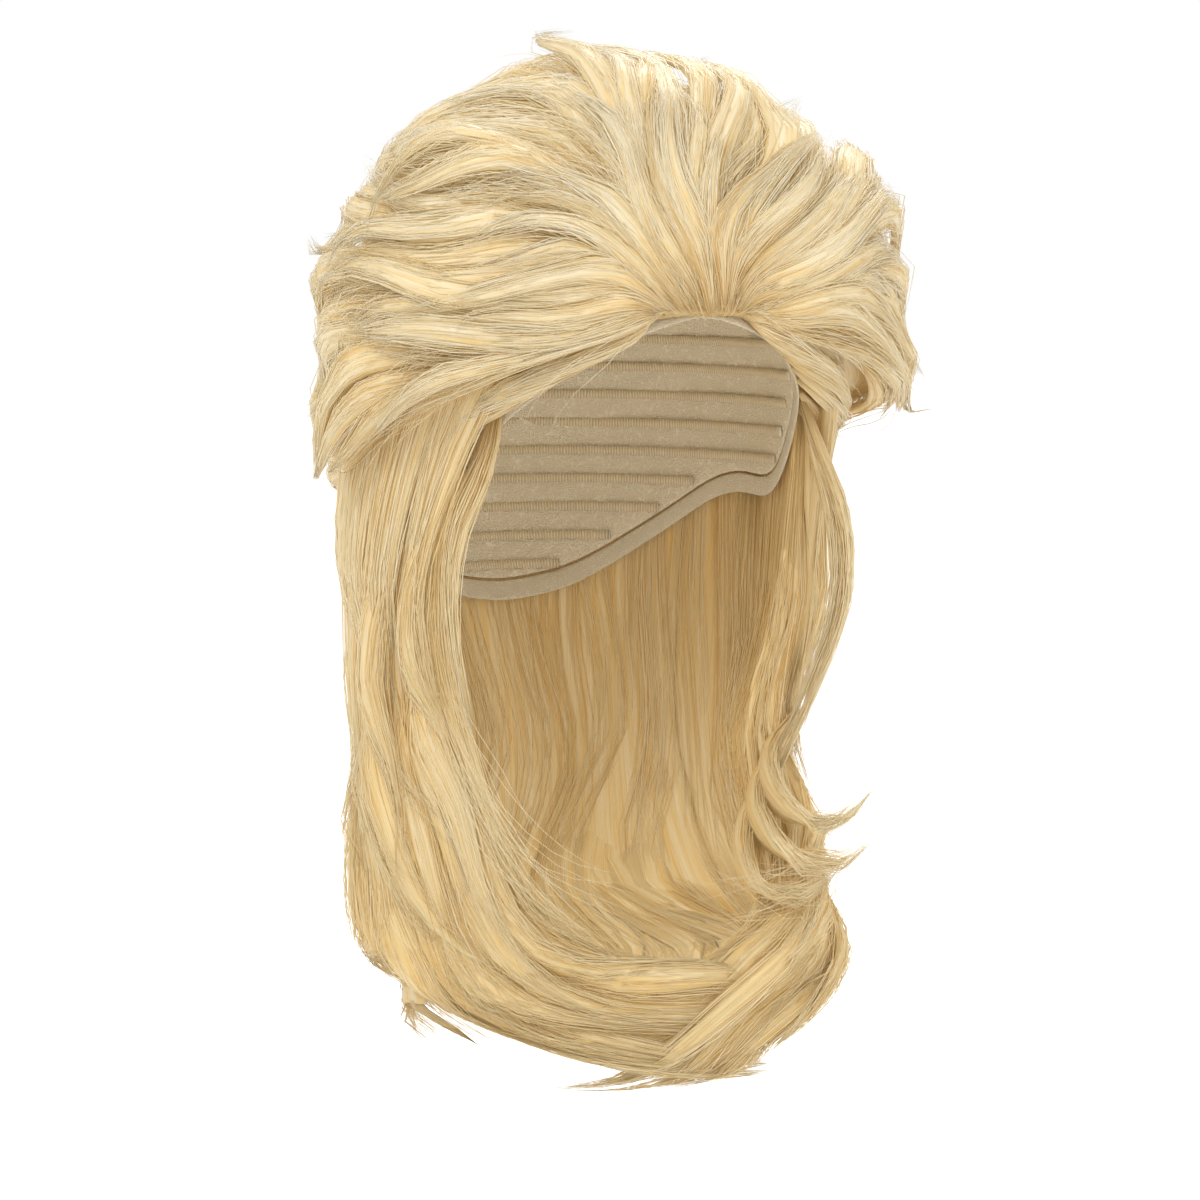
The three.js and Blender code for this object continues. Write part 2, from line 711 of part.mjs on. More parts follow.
const shortParts = new THREE.Group();
shortParts.name = "short_hair";
shortParts.add(meshOf("hair_top", topHair(), hairColour, 0.5));
shortParts.add(meshOf("hair_back_crown", backCrownHair(), hairColour, 0.5));

const longParts = new THREE.Group();
longParts.name = "long_hair";
longParts.add(meshOf("tail_back", tailBack(), hairColour, 0.5));

for (const [name, hand] of [["right", -1], ["left", 1]]) {
  shortParts.add(meshOf("hair_crown_" + name, crownHair(hand), hairColour, 0.5));
  shortParts.add(meshOf("hair_side_" + name, sideHair(hand), hairColour, 0.5));
  longParts.add(meshOf("tail_" + name, tailSide(hand), hairColour, 0.5));
  const sideburn = "sideburn_" + name;
  const locks = joinAll(FREE_LOCKS[sideburn].map(freeLock)).subtract(mould);
  longParts.add(meshOf(sideburn, mainBody(locks), hairColour, 0.5));
}

wig.add(capParts, shortParts, longParts);

export default wig;
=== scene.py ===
# %% [markdown]
# # A blonde mullet wig
#
# The wig is short and teased over the crown, and long at the back and sides. Its solids come from the
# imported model, and this lesson dresses them with hair. Hair is thousands of thin, nearly parallel fibres, so
# each one is a thin tube here, and all the tubes of a section are one mesh built from arrays. The
# tubes follow the form of the solids, which is read by casting rays at them, so the sizes stay theirs.

import math

import bpy
import numpy as np
from mathutils import Matrix, Vector
from mathutils.bvhtree import BVHTree


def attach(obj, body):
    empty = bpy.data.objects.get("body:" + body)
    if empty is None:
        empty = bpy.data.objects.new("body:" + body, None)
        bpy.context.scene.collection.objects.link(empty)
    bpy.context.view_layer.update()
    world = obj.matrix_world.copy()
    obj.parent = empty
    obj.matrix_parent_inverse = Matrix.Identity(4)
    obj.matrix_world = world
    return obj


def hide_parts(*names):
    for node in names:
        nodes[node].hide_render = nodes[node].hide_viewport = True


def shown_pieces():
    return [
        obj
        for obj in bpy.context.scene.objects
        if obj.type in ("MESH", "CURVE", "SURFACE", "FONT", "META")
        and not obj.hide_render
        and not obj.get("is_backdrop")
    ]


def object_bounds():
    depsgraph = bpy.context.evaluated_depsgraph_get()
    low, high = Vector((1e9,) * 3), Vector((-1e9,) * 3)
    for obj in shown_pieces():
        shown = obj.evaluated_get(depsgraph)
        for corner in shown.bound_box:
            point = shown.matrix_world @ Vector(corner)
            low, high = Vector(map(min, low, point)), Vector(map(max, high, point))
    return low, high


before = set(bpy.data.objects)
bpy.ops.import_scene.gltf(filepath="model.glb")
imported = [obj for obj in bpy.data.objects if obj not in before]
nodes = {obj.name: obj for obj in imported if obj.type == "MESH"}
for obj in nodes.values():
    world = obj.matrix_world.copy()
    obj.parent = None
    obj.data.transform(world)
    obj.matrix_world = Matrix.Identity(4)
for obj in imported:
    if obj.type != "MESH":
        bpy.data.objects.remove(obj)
cad_box = [list(corner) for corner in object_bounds()]
bpy.ops.object.select_all(action="DESELECT")
print("solids:", len(nodes), "box:", cad_box)

# %% [markdown]
# ## Camera, floor and light
#
# The photograph was taken from the wig's right front and a little from above, with a long lens.
# A wig is lit by big soft lamps, because small hard ones make every fibre glare.

# %% Camera
AIM = Vector((0, 0, -0.150))
CAMERA_DISTANCE = 1.8
CAMERA_TURN = math.radians(-30)
CAMERA_RISE = math.radians(5.5)

camera_data = bpy.data.cameras.new("photo_camera")
camera_data.lens = 132
camera_data.sensor_width = 36
camera = bpy.data.objects.new("photo_camera", camera_data)
outward = Vector(
    (
        math.sin(CAMERA_TURN) * math.cos(CAMERA_RISE),
        -math.cos(CAMERA_TURN) * math.cos(CAMERA_RISE),
        math.sin(CAMERA_RISE),
    )
)
camera.location = AIM + CAMERA_DISTANCE * outward
camera.rotation_euler = (-outward).to_track_quat("-Z", "Y").to_euler()
bpy.context.scene.collection.objects.link(camera)
bpy.context.scene.camera = camera
print("camera at", [round(x, 3) for x in camera.location])


# %% Shader nodes
def add_node(tree, kind, inputs, **settings):
    """A shader node. Each of `inputs` is a constant, or another node's output to link to."""
    node = tree.nodes.new(kind)
    for name, value in settings.items():
        setattr(node, name, value)
    for name, value in inputs.items():
        if isinstance(value, bpy.types.NodeSocket):
            tree.links.new(value, node.inputs[name])
        else:
            node.inputs[name].default_value = value
    return node


# %% Floor
FLOOR_LEVEL = cad_box[0][2] - 0.16
FLOOR_SIZE = 16
FLOOR_GLOW = 0.45

bpy.ops.mesh.primitive_plane_add(size=FLOOR_SIZE, location=(0, 0, 0))
floor = bpy.context.object
floor.name = "floor"
floor.data.transform(Matrix.Translation((0, 0, FLOOR_LEVEL)))
floor_paint = bpy.data.materials.new("floor_paint")
floor_paint.use_nodes = True
tree = floor_paint.node_tree
floor_shader = tree.nodes["Principled BSDF"]
floor_shader.inputs["Base Color"].default_value = (0.97, 0.97, 0.975, 1)
floor_shader.inputs["Roughness"].default_value = 0.9
floor_shader.inputs["Emission Color"].default_value = (1, 1, 1, 1)
seen = add_node(tree, "ShaderNodeLightPath", {}).outputs["Is Camera Ray"]
glow = add_node(tree, "ShaderNodeMapRange", {"Value": seen, "To Min": 0, "To Max": FLOOR_GLOW})
tree.links.new(glow.outputs["Result"], floor_shader.inputs["Emission Strength"])
floor.data.materials.append(floor_paint)
floor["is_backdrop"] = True
bpy.ops.object.select_all(action="DESELECT")
print("floor at", round(FLOOR_LEVEL, 3))

# %% Lamps
ROOM_LIGHT = 0.76
ROOM_COLOUR = (1.0, 0.96, 0.90)
LAMPS = {
    "key": dict(place=(-1.5, -1.1, 1.4), size=0.6, power=15),
    "fill": dict(place=(1.2, -1.5, 1.0), size=1.2, power=6),
    "rim": dict(place=(0.9, 1.2, 1.5), size=0.9, power=19),
}

world = bpy.data.worlds.new("pale_room")
world.use_nodes = True
tree = world.node_tree
backdrop = tree.nodes["Background"]
seen = add_node(tree, "ShaderNodeLightPath", {}).outputs["Is Camera Ray"]
colours = {"Factor": seen, "A": (*ROOM_COLOUR, 1), "B": (1, 1, 1, 1)}
room = add_node(tree, "ShaderNodeMix", colours, data_type="RGBA")
strength = add_node(tree, "ShaderNodeMapRange", {"Value": seen, "To Min": ROOM_LIGHT})
tree.links.new(room.outputs["Result"], backdrop.inputs["Color"])
tree.links.new(strength.outputs["Result"], backdrop.inputs["Strength"])
bpy.context.scene.world = world
bpy.context.scene.view_settings.view_transform = "Standard"


def add_lamp(name, place, size, power):
    data = bpy.data.lights.new(name, "AREA")
    data.shape = "SQUARE"
    data.size = size
    data.energy = power
    lamp = bpy.data.objects.new(name, data)
    lamp.location = place
    lamp.rotation_euler = (AIM - Vector(place)).to_track_quat("-Z", "Y").to_euler()
    bpy.context.scene.collection.objects.link(lamp)


for name, lamp in LAMPS.items():
    add_lamp(name, **lamp)
print("lamps:", len(LAMPS))

# %% [markdown]
# ## Finishes
#
# Blonde fibre is never one colour: each fibre has its own tint, and painted shade makes it a little deeper at
# its root and low down.
# The tint and the place along the fibre are stored in its UV map, so one shader group paints them all.

# %% Colours
PALE = (0.92, 0.84, 0.63)
CREAM = (0.98, 0.94, 0.81)
GOLD = (0.88, 0.69, 0.35)
DEEP = (0.78, 0.51, 0.20)
SHINE = (1.0, 0.94, 0.80)
# A painted glow: a warm emission that stands in for light scattered inside the hair and lifts its shade.
PAINTED_GLOW = (1.0, 0.70, 0.30)
PAINTED_GLOW_STRENGTH = 0.05
# Heights of the painted shade by height: most golden and darkest at the lower, palest at the upper.
SHADED_LEVEL = -0.30
LIT_LEVEL = 0.02
NET = (0.95, 0.88, 0.72)
NET_HOLE = (0.88, 0.77, 0.56)


def new_group(name, inputs, outputs):
    group = bpy.data.node_groups.new(name, "ShaderNodeTree")
    for socket, kind in inputs:
        group.interface.new_socket(name=socket, in_out="INPUT", socket_type=kind)
    for socket, kind in outputs:
        group.interface.new_socket(name=socket, in_out="OUTPUT", socket_type=kind)
    start = group.nodes.new("NodeGroupInput")
    end = group.nodes.new("NodeGroupOutput")
    return group, start, end


def add_ramp(tree, value, stops):
    """Colours blended by `value`, from stops of a place and a colour."""
    ramp = add_node(tree, "ShaderNodeValToRGB", {"Fac": value})
    while len(ramp.color_ramp.elements) < len(stops):
        ramp.color_ramp.elements.new(0.5)
    for element, (place, colour) in zip(ramp.color_ramp.elements, stops):
        element.position = place
        element.color = (*colour, 1)
    return ramp.outputs["Color"]


def add_product(tree, first, second):
    """The product of two colours."""
    colours = {"Factor": 1, "A": first, "B": second}
    mix = add_node(tree, "ShaderNodeMix", colours, data_type="RGBA", blend_type="MULTIPLY")
    return mix.outputs["Result"]


def add_root_shade(tree, along):
    """Hair is painted deeper in colour near its roots: painted shade, where the light has been through more of
    the hair.
    """
    return add_ramp(tree, along, [(0, (0.84, 0.70, 0.48)), (0.3, (0.97, 0.92, 0.82)), (0.65, (1, 1, 1))])


def add_height_shade(tree):
    """Painted shade by height: the long hair is painted more golden towards its ends, and the crown is the
    palest.
    """
    place = add_node(tree, "ShaderNodeTexCoord", {})
    level = add_node(tree, "ShaderNodeSeparateXYZ", {"Vector": place.outputs["Object"]})
    limits = {"From Min": SHADED_LEVEL, "From Max": LIT_LEVEL}
    share = add_node(tree, "ShaderNodeMapRange", {"Value": level.outputs["Z"], **limits})
    stops = [(0, (0.92, 0.84, 0.67)), (0.6, (0.97, 0.92, 0.81)), (1, (1, 1, 1))]
    return add_ramp(tree, share.outputs["Result"], stops)


def add_painted_shades(tree, tint, along):
    """A tint with painted shade: made deeper near the roots and more golden low down."""
    rooted = add_product(tree, tint, add_root_shade(tree, along))
    return add_product(tree, rooted, add_height_shade(tree))


# %% Fibre colour group
fibre_tone, tone_in, tone_out = new_group(
    "fibre_tone", [("Map", "NodeSocketVector")], [("Color", "NodeSocketColor")]
)
split = add_node(fibre_tone, "ShaderNodeSeparateXYZ", {"Vector": tone_in.outputs["Map"]})
tint = add_ramp(fibre_tone, split.outputs["X"], [(0, DEEP), (0.25, GOLD), (0.7, PALE), (1, CREAM)])
toned = add_painted_shades(fibre_tone, tint, split.outputs["Y"])
fibre_tone.links.new(toned, tone_out.inputs["Color"])

# %% Combed streaks group
streaks, streak_in, streak_out = new_group(
    "combed_streaks",
    [("Map", "NodeSocketVector")],
    [("Color", "NodeSocketColor"), ("Height", "NodeSocketFloat")],
)


def add_streak(tree, source, lines, along):
    """Noise drawn out along the hair: `lines` and `along` are its scales across and along."""
    stretch = add_node(tree, "ShaderNodeMapping", {"Vector": source, "Scale": (lines, along, 1)})
    drawn = {"Vector": stretch.outputs["Vector"], "Scale": 1, "Detail": 2}
    return add_node(tree, "ShaderNodeTexNoise", drawn).outputs["Fac"]


split = add_node(streaks, "ShaderNodeSeparateXYZ", {"Vector": streak_in.outputs["Map"]})
fine = add_streak(streaks, streak_in.outputs["Map"], 110, 4)
broad = add_streak(streaks, streak_in.outputs["Map"], 14, 2.5)
both = add_node(streaks, "ShaderNodeMath", {0: fine, 1: broad}, operation="ADD").outputs[0]
half = add_node(streaks, "ShaderNodeMath", {0: both, 1: 0.5}, operation="MULTIPLY").outputs[0]
tint = add_ramp(streaks, half, [(0.28, DEEP), (0.42, GOLD), (0.56, PALE), (0.72, CREAM)])
toned = add_painted_shades(streaks, tint, split.outputs["Y"])
streaks.links.new(toned, streak_out.inputs["Color"])
streaks.links.new(both, streak_out.inputs["Height"])


# %% Hair materials
def new_material(name, roughness):
    material = bpy.data.materials.new(name)
    material.use_nodes = True
    shader = material.node_tree.nodes["Principled BSDF"]
    shader.inputs["Roughness"].default_value = roughness
    return material, material.node_tree, shader


def own_map(tree):
    return add_node(tree, "ShaderNodeUVMap", {}, uv_map="OFBake").outputs["UV"]


def add_bump(tree, height, shader, strength, distance):
    bump = add_node(tree, "ShaderNodeBump", {"Height": height, "Strength": strength, "Distance": distance})
    tree.links.new(bump.outputs["Normal"], shader.inputs["Normal"])


def add_sheen_and_painted_glow(shader):
    """The sheen of blonde fibre, and a faint painted glow that stands in for the light that passes through it.
    """
    shader.inputs["Specular IOR Level"].default_value = 0.5
    shader.inputs["Specular Tint"].default_value = (*SHINE, 1)
    shader.inputs["Emission Color"].default_value = (*PAINTED_GLOW, 1)
    shader.inputs["Emission Strength"].default_value = PAINTED_GLOW_STRENGTH


fibre, tree, shader = new_material("blonde_fibre", 0.34)
add_sheen_and_painted_glow(shader)
tone = add_node(tree, "ShaderNodeGroup", {"Map": own_map(tree)}, node_tree=fibre_tone)
tree.links.new(tone.outputs["Color"], shader.inputs["Base Color"])

hair_body, tree, shader = new_material("combed_hair", 0.36)
add_sheen_and_painted_glow(shader)
shader.inputs["Anisotropic"].default_value = 0.75
grain = add_node(tree, "ShaderNodeTangent", {}, direction_type="UV_MAP", uv_map="OFBake")
tree.links.new(grain.outputs["Tangent"], shader.inputs["Tangent"])
combed = add_node(tree, "ShaderNodeGroup", {"Map": own_map(tree)}, node_tree=streaks)
tree.links.new(combed.outputs["Color"], shader.inputs["Base Color"])
add_bump(tree, combed.outputs["Height"], shader, 0.7, 0.0006)
print("materials:", [m.name for m in bpy.data.materials])

# %% [markdown]
# ## Reading the form of the solids
#
# Hair lies in layers over the cap, so a place in it has three numbers: how far round, how far along the
# way it is combed, and how high above the cap. Rays cast at the solids from outside give the height of
# the cap and of the hair in each direction, and a little smoothing takes the facets out.


# %% Rays
FAR = 0.4


def tree_of(names):
    points, faces = [], []
    for name in names:
        mesh = nodes[name].data
        start = len(points)
        points += [vertex.co[:] for vertex in mesh.vertices]
        faces += [[start + i for i in face.vertices] for face in mesh.polygons]
    return BVHTree.FromPolygons(points, faces)


def reach_inside(tree, origins, directions):
    """Distance from each origin to the first solid along its direction."""
    found = np.full(len(directions), np.nan)
    for i, (origin, direction) in enumerate(zip(origins, directions)):
        distance = tree.ray_cast(Vector(origin), Vector(direction), FAR)[3]
        if distance is not None:
            found[i] = distance
    return found


def reach_from(tree, origins, directions):
    """Distance from each origin to the outermost solid along its direction."""
    return FAR - reach_inside(tree, origins + FAR * directions, -directions)


def fill_and_smooth(grid, rounds):
    """Gives each empty cell its neighbours' mean, then evens the whole grid out."""
    grid = grid.copy()
    while np.isnan(grid).any():
        wide = np.pad(grid, 1, constant_values=np.nan)
        around = np.stack([wide[:-2, 1:-1], wide[2:, 1:-1], wide[1:-1, :-2], wide[1:-1, 2:]])
        known = ~np.isnan(around)
        mean = np.where(known, around, 0).sum(0) / np.maximum(known.sum(0), 1)
        grid = np.where(np.isnan(grid) & known.any(0), mean, grid)
    for _ in range(rounds):
        wide = np.pad(grid, 1, mode="edge")
        grid = (wide[:-2, 1:-1] + wide[2:, 1:-1] + wide[1:-1, :-2] + wide[1:-1, 2:] + 2 * grid) / 6
    return grid


def read_grid(grid, u, v):
    """Values of a grid at shares u and v, from 0 to 1, of its two sides."""
    x = np.clip(u, 0, 1) * (grid.shape[0] - 1)
    y = np.clip(v, 0, 1) * (grid.shape[1] - 1)
    i = np.minimum(x.astype(int), grid.shape[0] - 2)
    j = np.minimum(y.astype(int), grid.shape[1] - 2)
    p, q = x - i, y - j
    low = grid[i, j] * (1 - q) + grid[i, j + 1] * q
    high = grid[i + 1, j] * (1 - q) + grid[i + 1, j + 1] * q
    return low * (1 - p) + high * p


def held_back(value, start, end):
    """Values past `start`, either way, drawn in so that they never pass `end`."""
    past = np.maximum(np.abs(value) - start, 0)
    return np.sign(value) * (np.abs(value) - past + (end - start) * np.tanh(past / (end - start)))


def ease(value, start, end):
    """0 up to `start`, 1 from `end` on, and smooth between them."""
    t = np.clip((value - start) / (end - start), 0, 1)
    return t * t * (3 - 2 * t)


def rise_and_fall(value, start, full, hold, end):
    """Rises from 0 at `start` to 1 at `full`, stays, and falls again from `hold` to `end`."""
    return ease(value, start, full) * (1 - ease(value, hold, end))


# %% The short hair's form
CROWN_MIDDLE = np.array([0, 0.005, -0.065])
CROWN_RADIUS = 0.13
FLOW_TILT = math.radians(21)
LOWEST_SPREAD = math.radians(104)
FRONT_OPEN = 0.24
NAPE_OPEN = 0.62
# The hair is fuller at the left of the parting and on top, and flatter at the back of the right.
LOFTS = [
    dict(share=0.20, across=(18, 55, 66, 92), along=(15, 42, 80, 110)),
    dict(share=0.09, across=(-24, -6, 10, 28), along=(20, 45, 85, 115)),
    dict(share=-0.05, across=(-106, -105, -20, 0), along=(60, 85, 180, 181)),
]
# How far the tips stand up, by the place across in degrees.
STAND = dict(across=[-60, -15, 5, 60, 90], share=[0.7, 0.4, 1.3, 1.2, 1.0])
flow_back = np.array([0, math.cos(FLOW_TILT), -math.sin(FLOW_TILT)])
flow_up = np.array([0, math.sin(FLOW_TILT), math.cos(FLOW_TILT)])
flow_side = np.array([1.0, 0, 0])


def crown_direction(spread, back):
    """Unit vectors at `spread` from the parting line and `back` from the hairline, in radians.

    Without `open` every lock would start in one point of the hairline and end in one point at the nape.
    """
    s, b = np.broadcast_arrays(spread, back)
    open_front = FRONT_OPEN * np.clip(1 - b / math.radians(32), 0, 1) ** 2
    open_nape = NAPE_OPEN * np.clip((b - math.radians(120)) / math.radians(60), 0, 1) ** 2
    up = (np.sin(b) * np.cos(s))[..., None] * flow_up
    side = (np.sin(b) * np.sin(s) + (open_front + open_nape) * s / LOWEST_SPREAD)[..., None] * flow_side
    direction = up + side - np.cos(b)[..., None] * flow_back
    return direction / np.linalg.norm(direction, axis=-1, keepdims=True)


class Crown:
    """Short hair: across is the spread and along is the turn back from the hairline, in radians."""

    period = math.radians(72)

    def __init__(self, rim):
        limit = LOWEST_SPREAD - math.radians(1.5)
        spreads = np.linspace(-limit, limit, 69)
        backs = np.linspace(math.radians(2), math.radians(178), 60)
        directions = crown_direction(spreads[:, None], backs[None, :]).reshape(-1, 3)
        origins = np.broadcast_to(CROWN_MIDDLE, directions.shape)
        shape = (len(spreads), len(backs))
        cap = reach_from(tree_of(["wig_cap", "edge_band"]), origins, directions).reshape(shape)
        cap = np.where(cap < 0.06, np.nan, cap)
        hair = reach_from(tree_of([n for n in nodes if n.startswith("hair_")]), origins, directions)
        hair = hair.reshape(shape)
        hair = np.where(hair < cap + 0.002, np.nan, hair)
        self.cap = fill_and_smooth(cap, 2)
        self.thick = fill_and_smooth(hair - cap, 4) * self.loft(spreads[:, None], backs[None, :])
        self.limit = limit
        self.rim = rim

    def loft(self, across, along):
        """How deep the hair stands, as a share of its solid."""
        lift = 0
        for row in LOFTS:
            raised = row["share"] * rise_and_fall(np.degrees(across), *row["across"])
            lift = lift + raised * rise_and_fall(np.degrees(along), *row["along"])
        return 1 + lift

    def stand(self, across):
        """How far the tips of the locks stand up, as a share of what their row says."""
        return np.interp(np.degrees(across), STAND["across"], STAND["share"])

    def shares(self, across, along):
        return (across / self.limit + 1) / 2, (along - math.radians(2)) / math.radians(176)

    def kept(self, across):
        return held_back(across, self.rim - math.radians(12), self.rim)

    def depth(self, across, along):
        return read_grid(self.thick, *self.shares(across, along))

    def place(self, across, along, lift):
        radius = read_grid(self.cap, *self.shares(across, along)) + lift
        return CROWN_MIDDLE + crown_direction(across, along) * radius[..., None]

    def outward(self, across, along):
        return crown_direction(across, along)

    def per_metre(self, across, along):
        return 1 / (CROWN_RADIUS * np.maximum(np.sin(along), 0.32))


crown = Crown(LOWEST_SPREAD - math.radians(1.5))
temple = Crown(LOWEST_SPREAD + math.radians(7))
print("short hair: %.0f to %.0f mm deep" % (crown.thick.min() * 1000, crown.thick.max() * 1000))

# %% The long hair's form
TAIL_TOP = -0.066
TAIL_FALL = 0.268
TAIL_HALF_GIRTH = 0.19
LEFT_WAIST = 0.014
BACK_WAIST = 0.007
TAIL_LINES = [
    {"share": 0, "turn": [0, 0, 0, 0, 0], "fall": [0, 0.33, 0.57, 0.78, 0.94]},
    {"share": 0.25, "turn": [32, 31, 31, 34, 42], "fall": [0, 0.34, 0.58, 0.79, 0.92]},
    {"share": 0.45, "turn": [56, 54, 56, 72, 100], "fall": [0, 0.35, 0.59, 0.8, 0.89]},
    {"share": 0.64, "turn": [78, 75, 78, 106, 160], "fall": [0, 0.35, 0.6, 0.86, 0.99]},
    {"share": 0.82, "turn": [98, 92, 98, 128, 184], "fall": [0, 0.33, 0.58, 0.83, 0.965]},
    {"share": 1, "turn": [114, 101, 110, 137, 190], "fall": [0, 0.28, 0.53, 0.77, 0.845]},
]


def smooth_rows(places, values, at):
    """A smooth curve through rows at `places`. `values` has one row each, and a column for each of `at`."""
    places = np.asarray(places, float)
    values = np.broadcast_to(np.asarray(values, float), (len(places), len(at)))
    past = at - np.clip(at, places[0], places[-1])
    at = at - past
    before = np.concatenate([[0], np.arange(len(places) - 1)])
    after = np.concatenate([np.arange(1, len(places)), [len(places) - 1]])
    slopes = (values[after] - values[before]) / (places[after] - places[before])[:, None]
    i = np.clip(np.searchsorted(places, at, side="right") - 1, 0, len(places) - 2)
    column = np.arange(len(at))
    span = places[i + 1] - places[i]
    s = (at - places[i]) / span
    return (
        (2 * s**3 - 3 * s**2 + 1) * values[i, column]
        + (s**3 - 2 * s**2 + s) * span * slopes[i, column]
        + (3 * s**2 - 2 * s**3) * values[i + 1, column]
        + (s**3 - s**2) * span * slopes[i + 1, column]
        + past * slopes[i + 1, column]
    )


def tail_route(across, along):
    """Turn from the back in radians, and level, for shares across and along the long hair."""
    side, down = np.broadcast_arrays(np.asarray(across, float), np.asarray(along, float))
    a, d = np.abs(side).ravel(), down.ravel()
    steps = np.linspace(0, 1, 5)
    shares = [line["share"] for line in TAIL_LINES]
    turn, fall = (
        smooth_rows(
            shares,
            np.stack([smooth_rows(steps, np.asarray(line[name], float)[:, None], d) for line in TAIL_LINES]),
            a,
        )
        for name in ("turn", "fall")
    )
    turn = np.radians(turn).reshape(side.shape) * np.where(side < 0, -1, 1)
    fall = held_back(fall.reshape(side.shape), 0.94, 1.02)
    return turn, TAIL_TOP - TAIL_FALL * fall


class Tail:
    """Long hair: across runs from -1 at the wearer's right to 1, and along from the roots to the tips."""

    period = 0.55

    def __init__(self):
        across = np.linspace(-1, 1, 81)
        along = np.linspace(0, 1, 46)
        turn, level = tail_route(across[:, None], along[None, :])
        turn = np.clip(turn, -math.radians(178.6), math.radians(178.6))
        directions = np.stack([np.sin(turn), np.cos(turn), np.zeros_like(turn)], -1).reshape(-1, 3)
        origins = np.stack([np.zeros_like(level), np.zeros_like(level), level], -1).reshape(-1, 3)
        tree = tree_of([n for n in nodes if n.startswith("tail_")])
        inner = reach_inside(tree, origins, directions).reshape(turn.shape)
        outer = reach_from(tree, origins, directions).reshape(turn.shape)
        self.inner = fill_and_smooth(inner, 3)
        self.thick = fill_and_smooth(np.where(outer - inner < 0.002, np.nan, outer - inner), 4)

    def kept(self, across):
        return held_back(across, 0.96, 1.02)

    def stand(self, across):
        return 1

    def depth(self, across, along):
        return read_grid(self.thick, (across + 1) / 2, along)

    def outward(self, across, along):
        turn, _ = tail_route(across, along)
        return np.stack([np.sin(turn), np.cos(turn), np.zeros_like(turn)], -1)

    def waist(self, across, along):
        """How far the hair is drawn in: at the left side's front edge, and at the back of the right."""
        left = ease(across, 0.5, 0.8) * rise_and_fall(along, 0.28, 0.48, 0.56, 0.78)
        behind = rise_and_fall(-across, 0.15, 0.35, 0.6, 0.8) * rise_and_fall(along, 0.12, 0.3, 0.38, 0.56)
        return LEFT_WAIST * left + BACK_WAIST * behind

    def place(self, across, along, lift):
        turn, level = tail_route(across, along)
        radius = read_grid(self.inner, (across + 1) / 2, along) + lift - self.waist(across, along)
        return np.stack([radius * np.sin(turn), radius * np.cos(turn), level], -1)

    def per_metre(self, across, along):
        return np.full(np.broadcast(across, along).shape, 1 / TAIL_HALF_GIRTH)


tail = Tail()
print("long hair: %.0f to %.0f mm deep" % (tail.thick.min() * 1000, tail.thick.max() * 1000))

# %% [markdown]
# ## From curves to tubes
#
# A fibre is a curve with a thickness. Three sides are enough for a tube that is thinner than a pixel's
# width or two, because smooth shading rounds them, and three sides let the wig have far more fibres.


# %% Meshes from arrays
def make_mesh(name, points, triangles, uv, material):
    mesh = bpy.data.meshes.new(name)
    mesh.vertices.add(len(points))
    mesh.vertices.foreach_set("co", np.asarray(points, np.float32).ravel())
    mesh.loops.add(triangles.size)
    mesh.loops.foreach_set("vertex_index", triangles.astype(np.int32).ravel())
    mesh.polygons.add(len(triangles))
    mesh.polygons.foreach_set("loop_start", np.arange(0, triangles.size, 3, dtype=np.int32))
    mesh.polygons.foreach_set("use_smooth", np.ones(len(triangles), bool))
    layer = mesh.uv_layers.new(name="OFBake")
    layer.data.foreach_set("uv", np.asarray(uv, np.float32)[triangles.ravel()].ravel())
    mesh.update()
    mesh.validate()
    mesh.materials.append(material)
    piece = bpy.data.objects.new(name, mesh)
    bpy.context.scene.collection.objects.link(piece)
    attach(piece, "root")
    return piece


def tubes(curves, outward, radius, tint):
    """Tubes round curves of shape (fibres, steps, 3): points, triangles and a UV of tint and place along."""
    fibres, steps, _ = curves.shape
    along = np.gradient(curves, axis=1)
    along /= np.linalg.norm(along, axis=2, keepdims=True) + 1e-12
    side = np.cross(along, outward)
    side /= np.linalg.norm(side, axis=2, keepdims=True) + 1e-12
    up = np.cross(side, along)
    angles = np.radians([90, 210, 330])[None, None, :, None]
    ring = side[:, :, None] * np.cos(angles) + up[:, :, None] * np.sin(angles)
    rings = curves[:, :, None] + ring * radius[:, :, None, None]
    body = rings[:, :-1].reshape(fibres, -1, 3)
    points = np.concatenate([body, curves[:, -1:]], axis=1)
    one = []
    for j in range(steps - 2):
        for k in range(3):
            a, b = 3 * j + k, 3 * j + (k + 1) % 3
            one += [(a, b, b + 3), (a, b + 3, a + 3)]
    last = 3 * (steps - 2)
    one += [(last + k, last + (k + 1) % 3, last + 3) for k in range(3)]
    one += [(0, 2, 1)]
    per_fibre = points.shape[1]
    triangles = (np.array(one)[None] + per_fibre * np.arange(fibres)[:, None, None]).reshape(-1, 3)
    v = np.concatenate([np.repeat(np.linspace(0, 1, steps)[:-1], 3), [1]])
    uv = np.stack(np.broadcast_arrays(tint[:, None], v[None, :]), -1).reshape(-1, 2)
    return points.reshape(-1, 3), triangles, uv


def ring_faces(rings, sides):
    """Point numbers of rings that lie one after another, and the triangles between the rings."""
    index = np.arange(rings * sides).reshape(rings, sides)
    a, b = index[:-1], np.roll(index[:-1], -1, axis=1)
    c, d = np.roll(index[1:], -1, axis=1), index[1:]
    return index, [np.stack([a, b, c], -1).reshape(-1, 3), np.stack([a, c, d], -1).reshape(-1, 3)]


def joined(parts):
    """Many parts as the points, triangles and UV of one mesh."""
    points, triangles, uv, start = [], [], [], 0
    for p, t, m in parts:
        points.append(p)
        triangles.append(t + start)
        uv.append(m)
        start += len(p)
    return np.concatenate(points), np.concatenate(triangles), np.concatenate(uv)


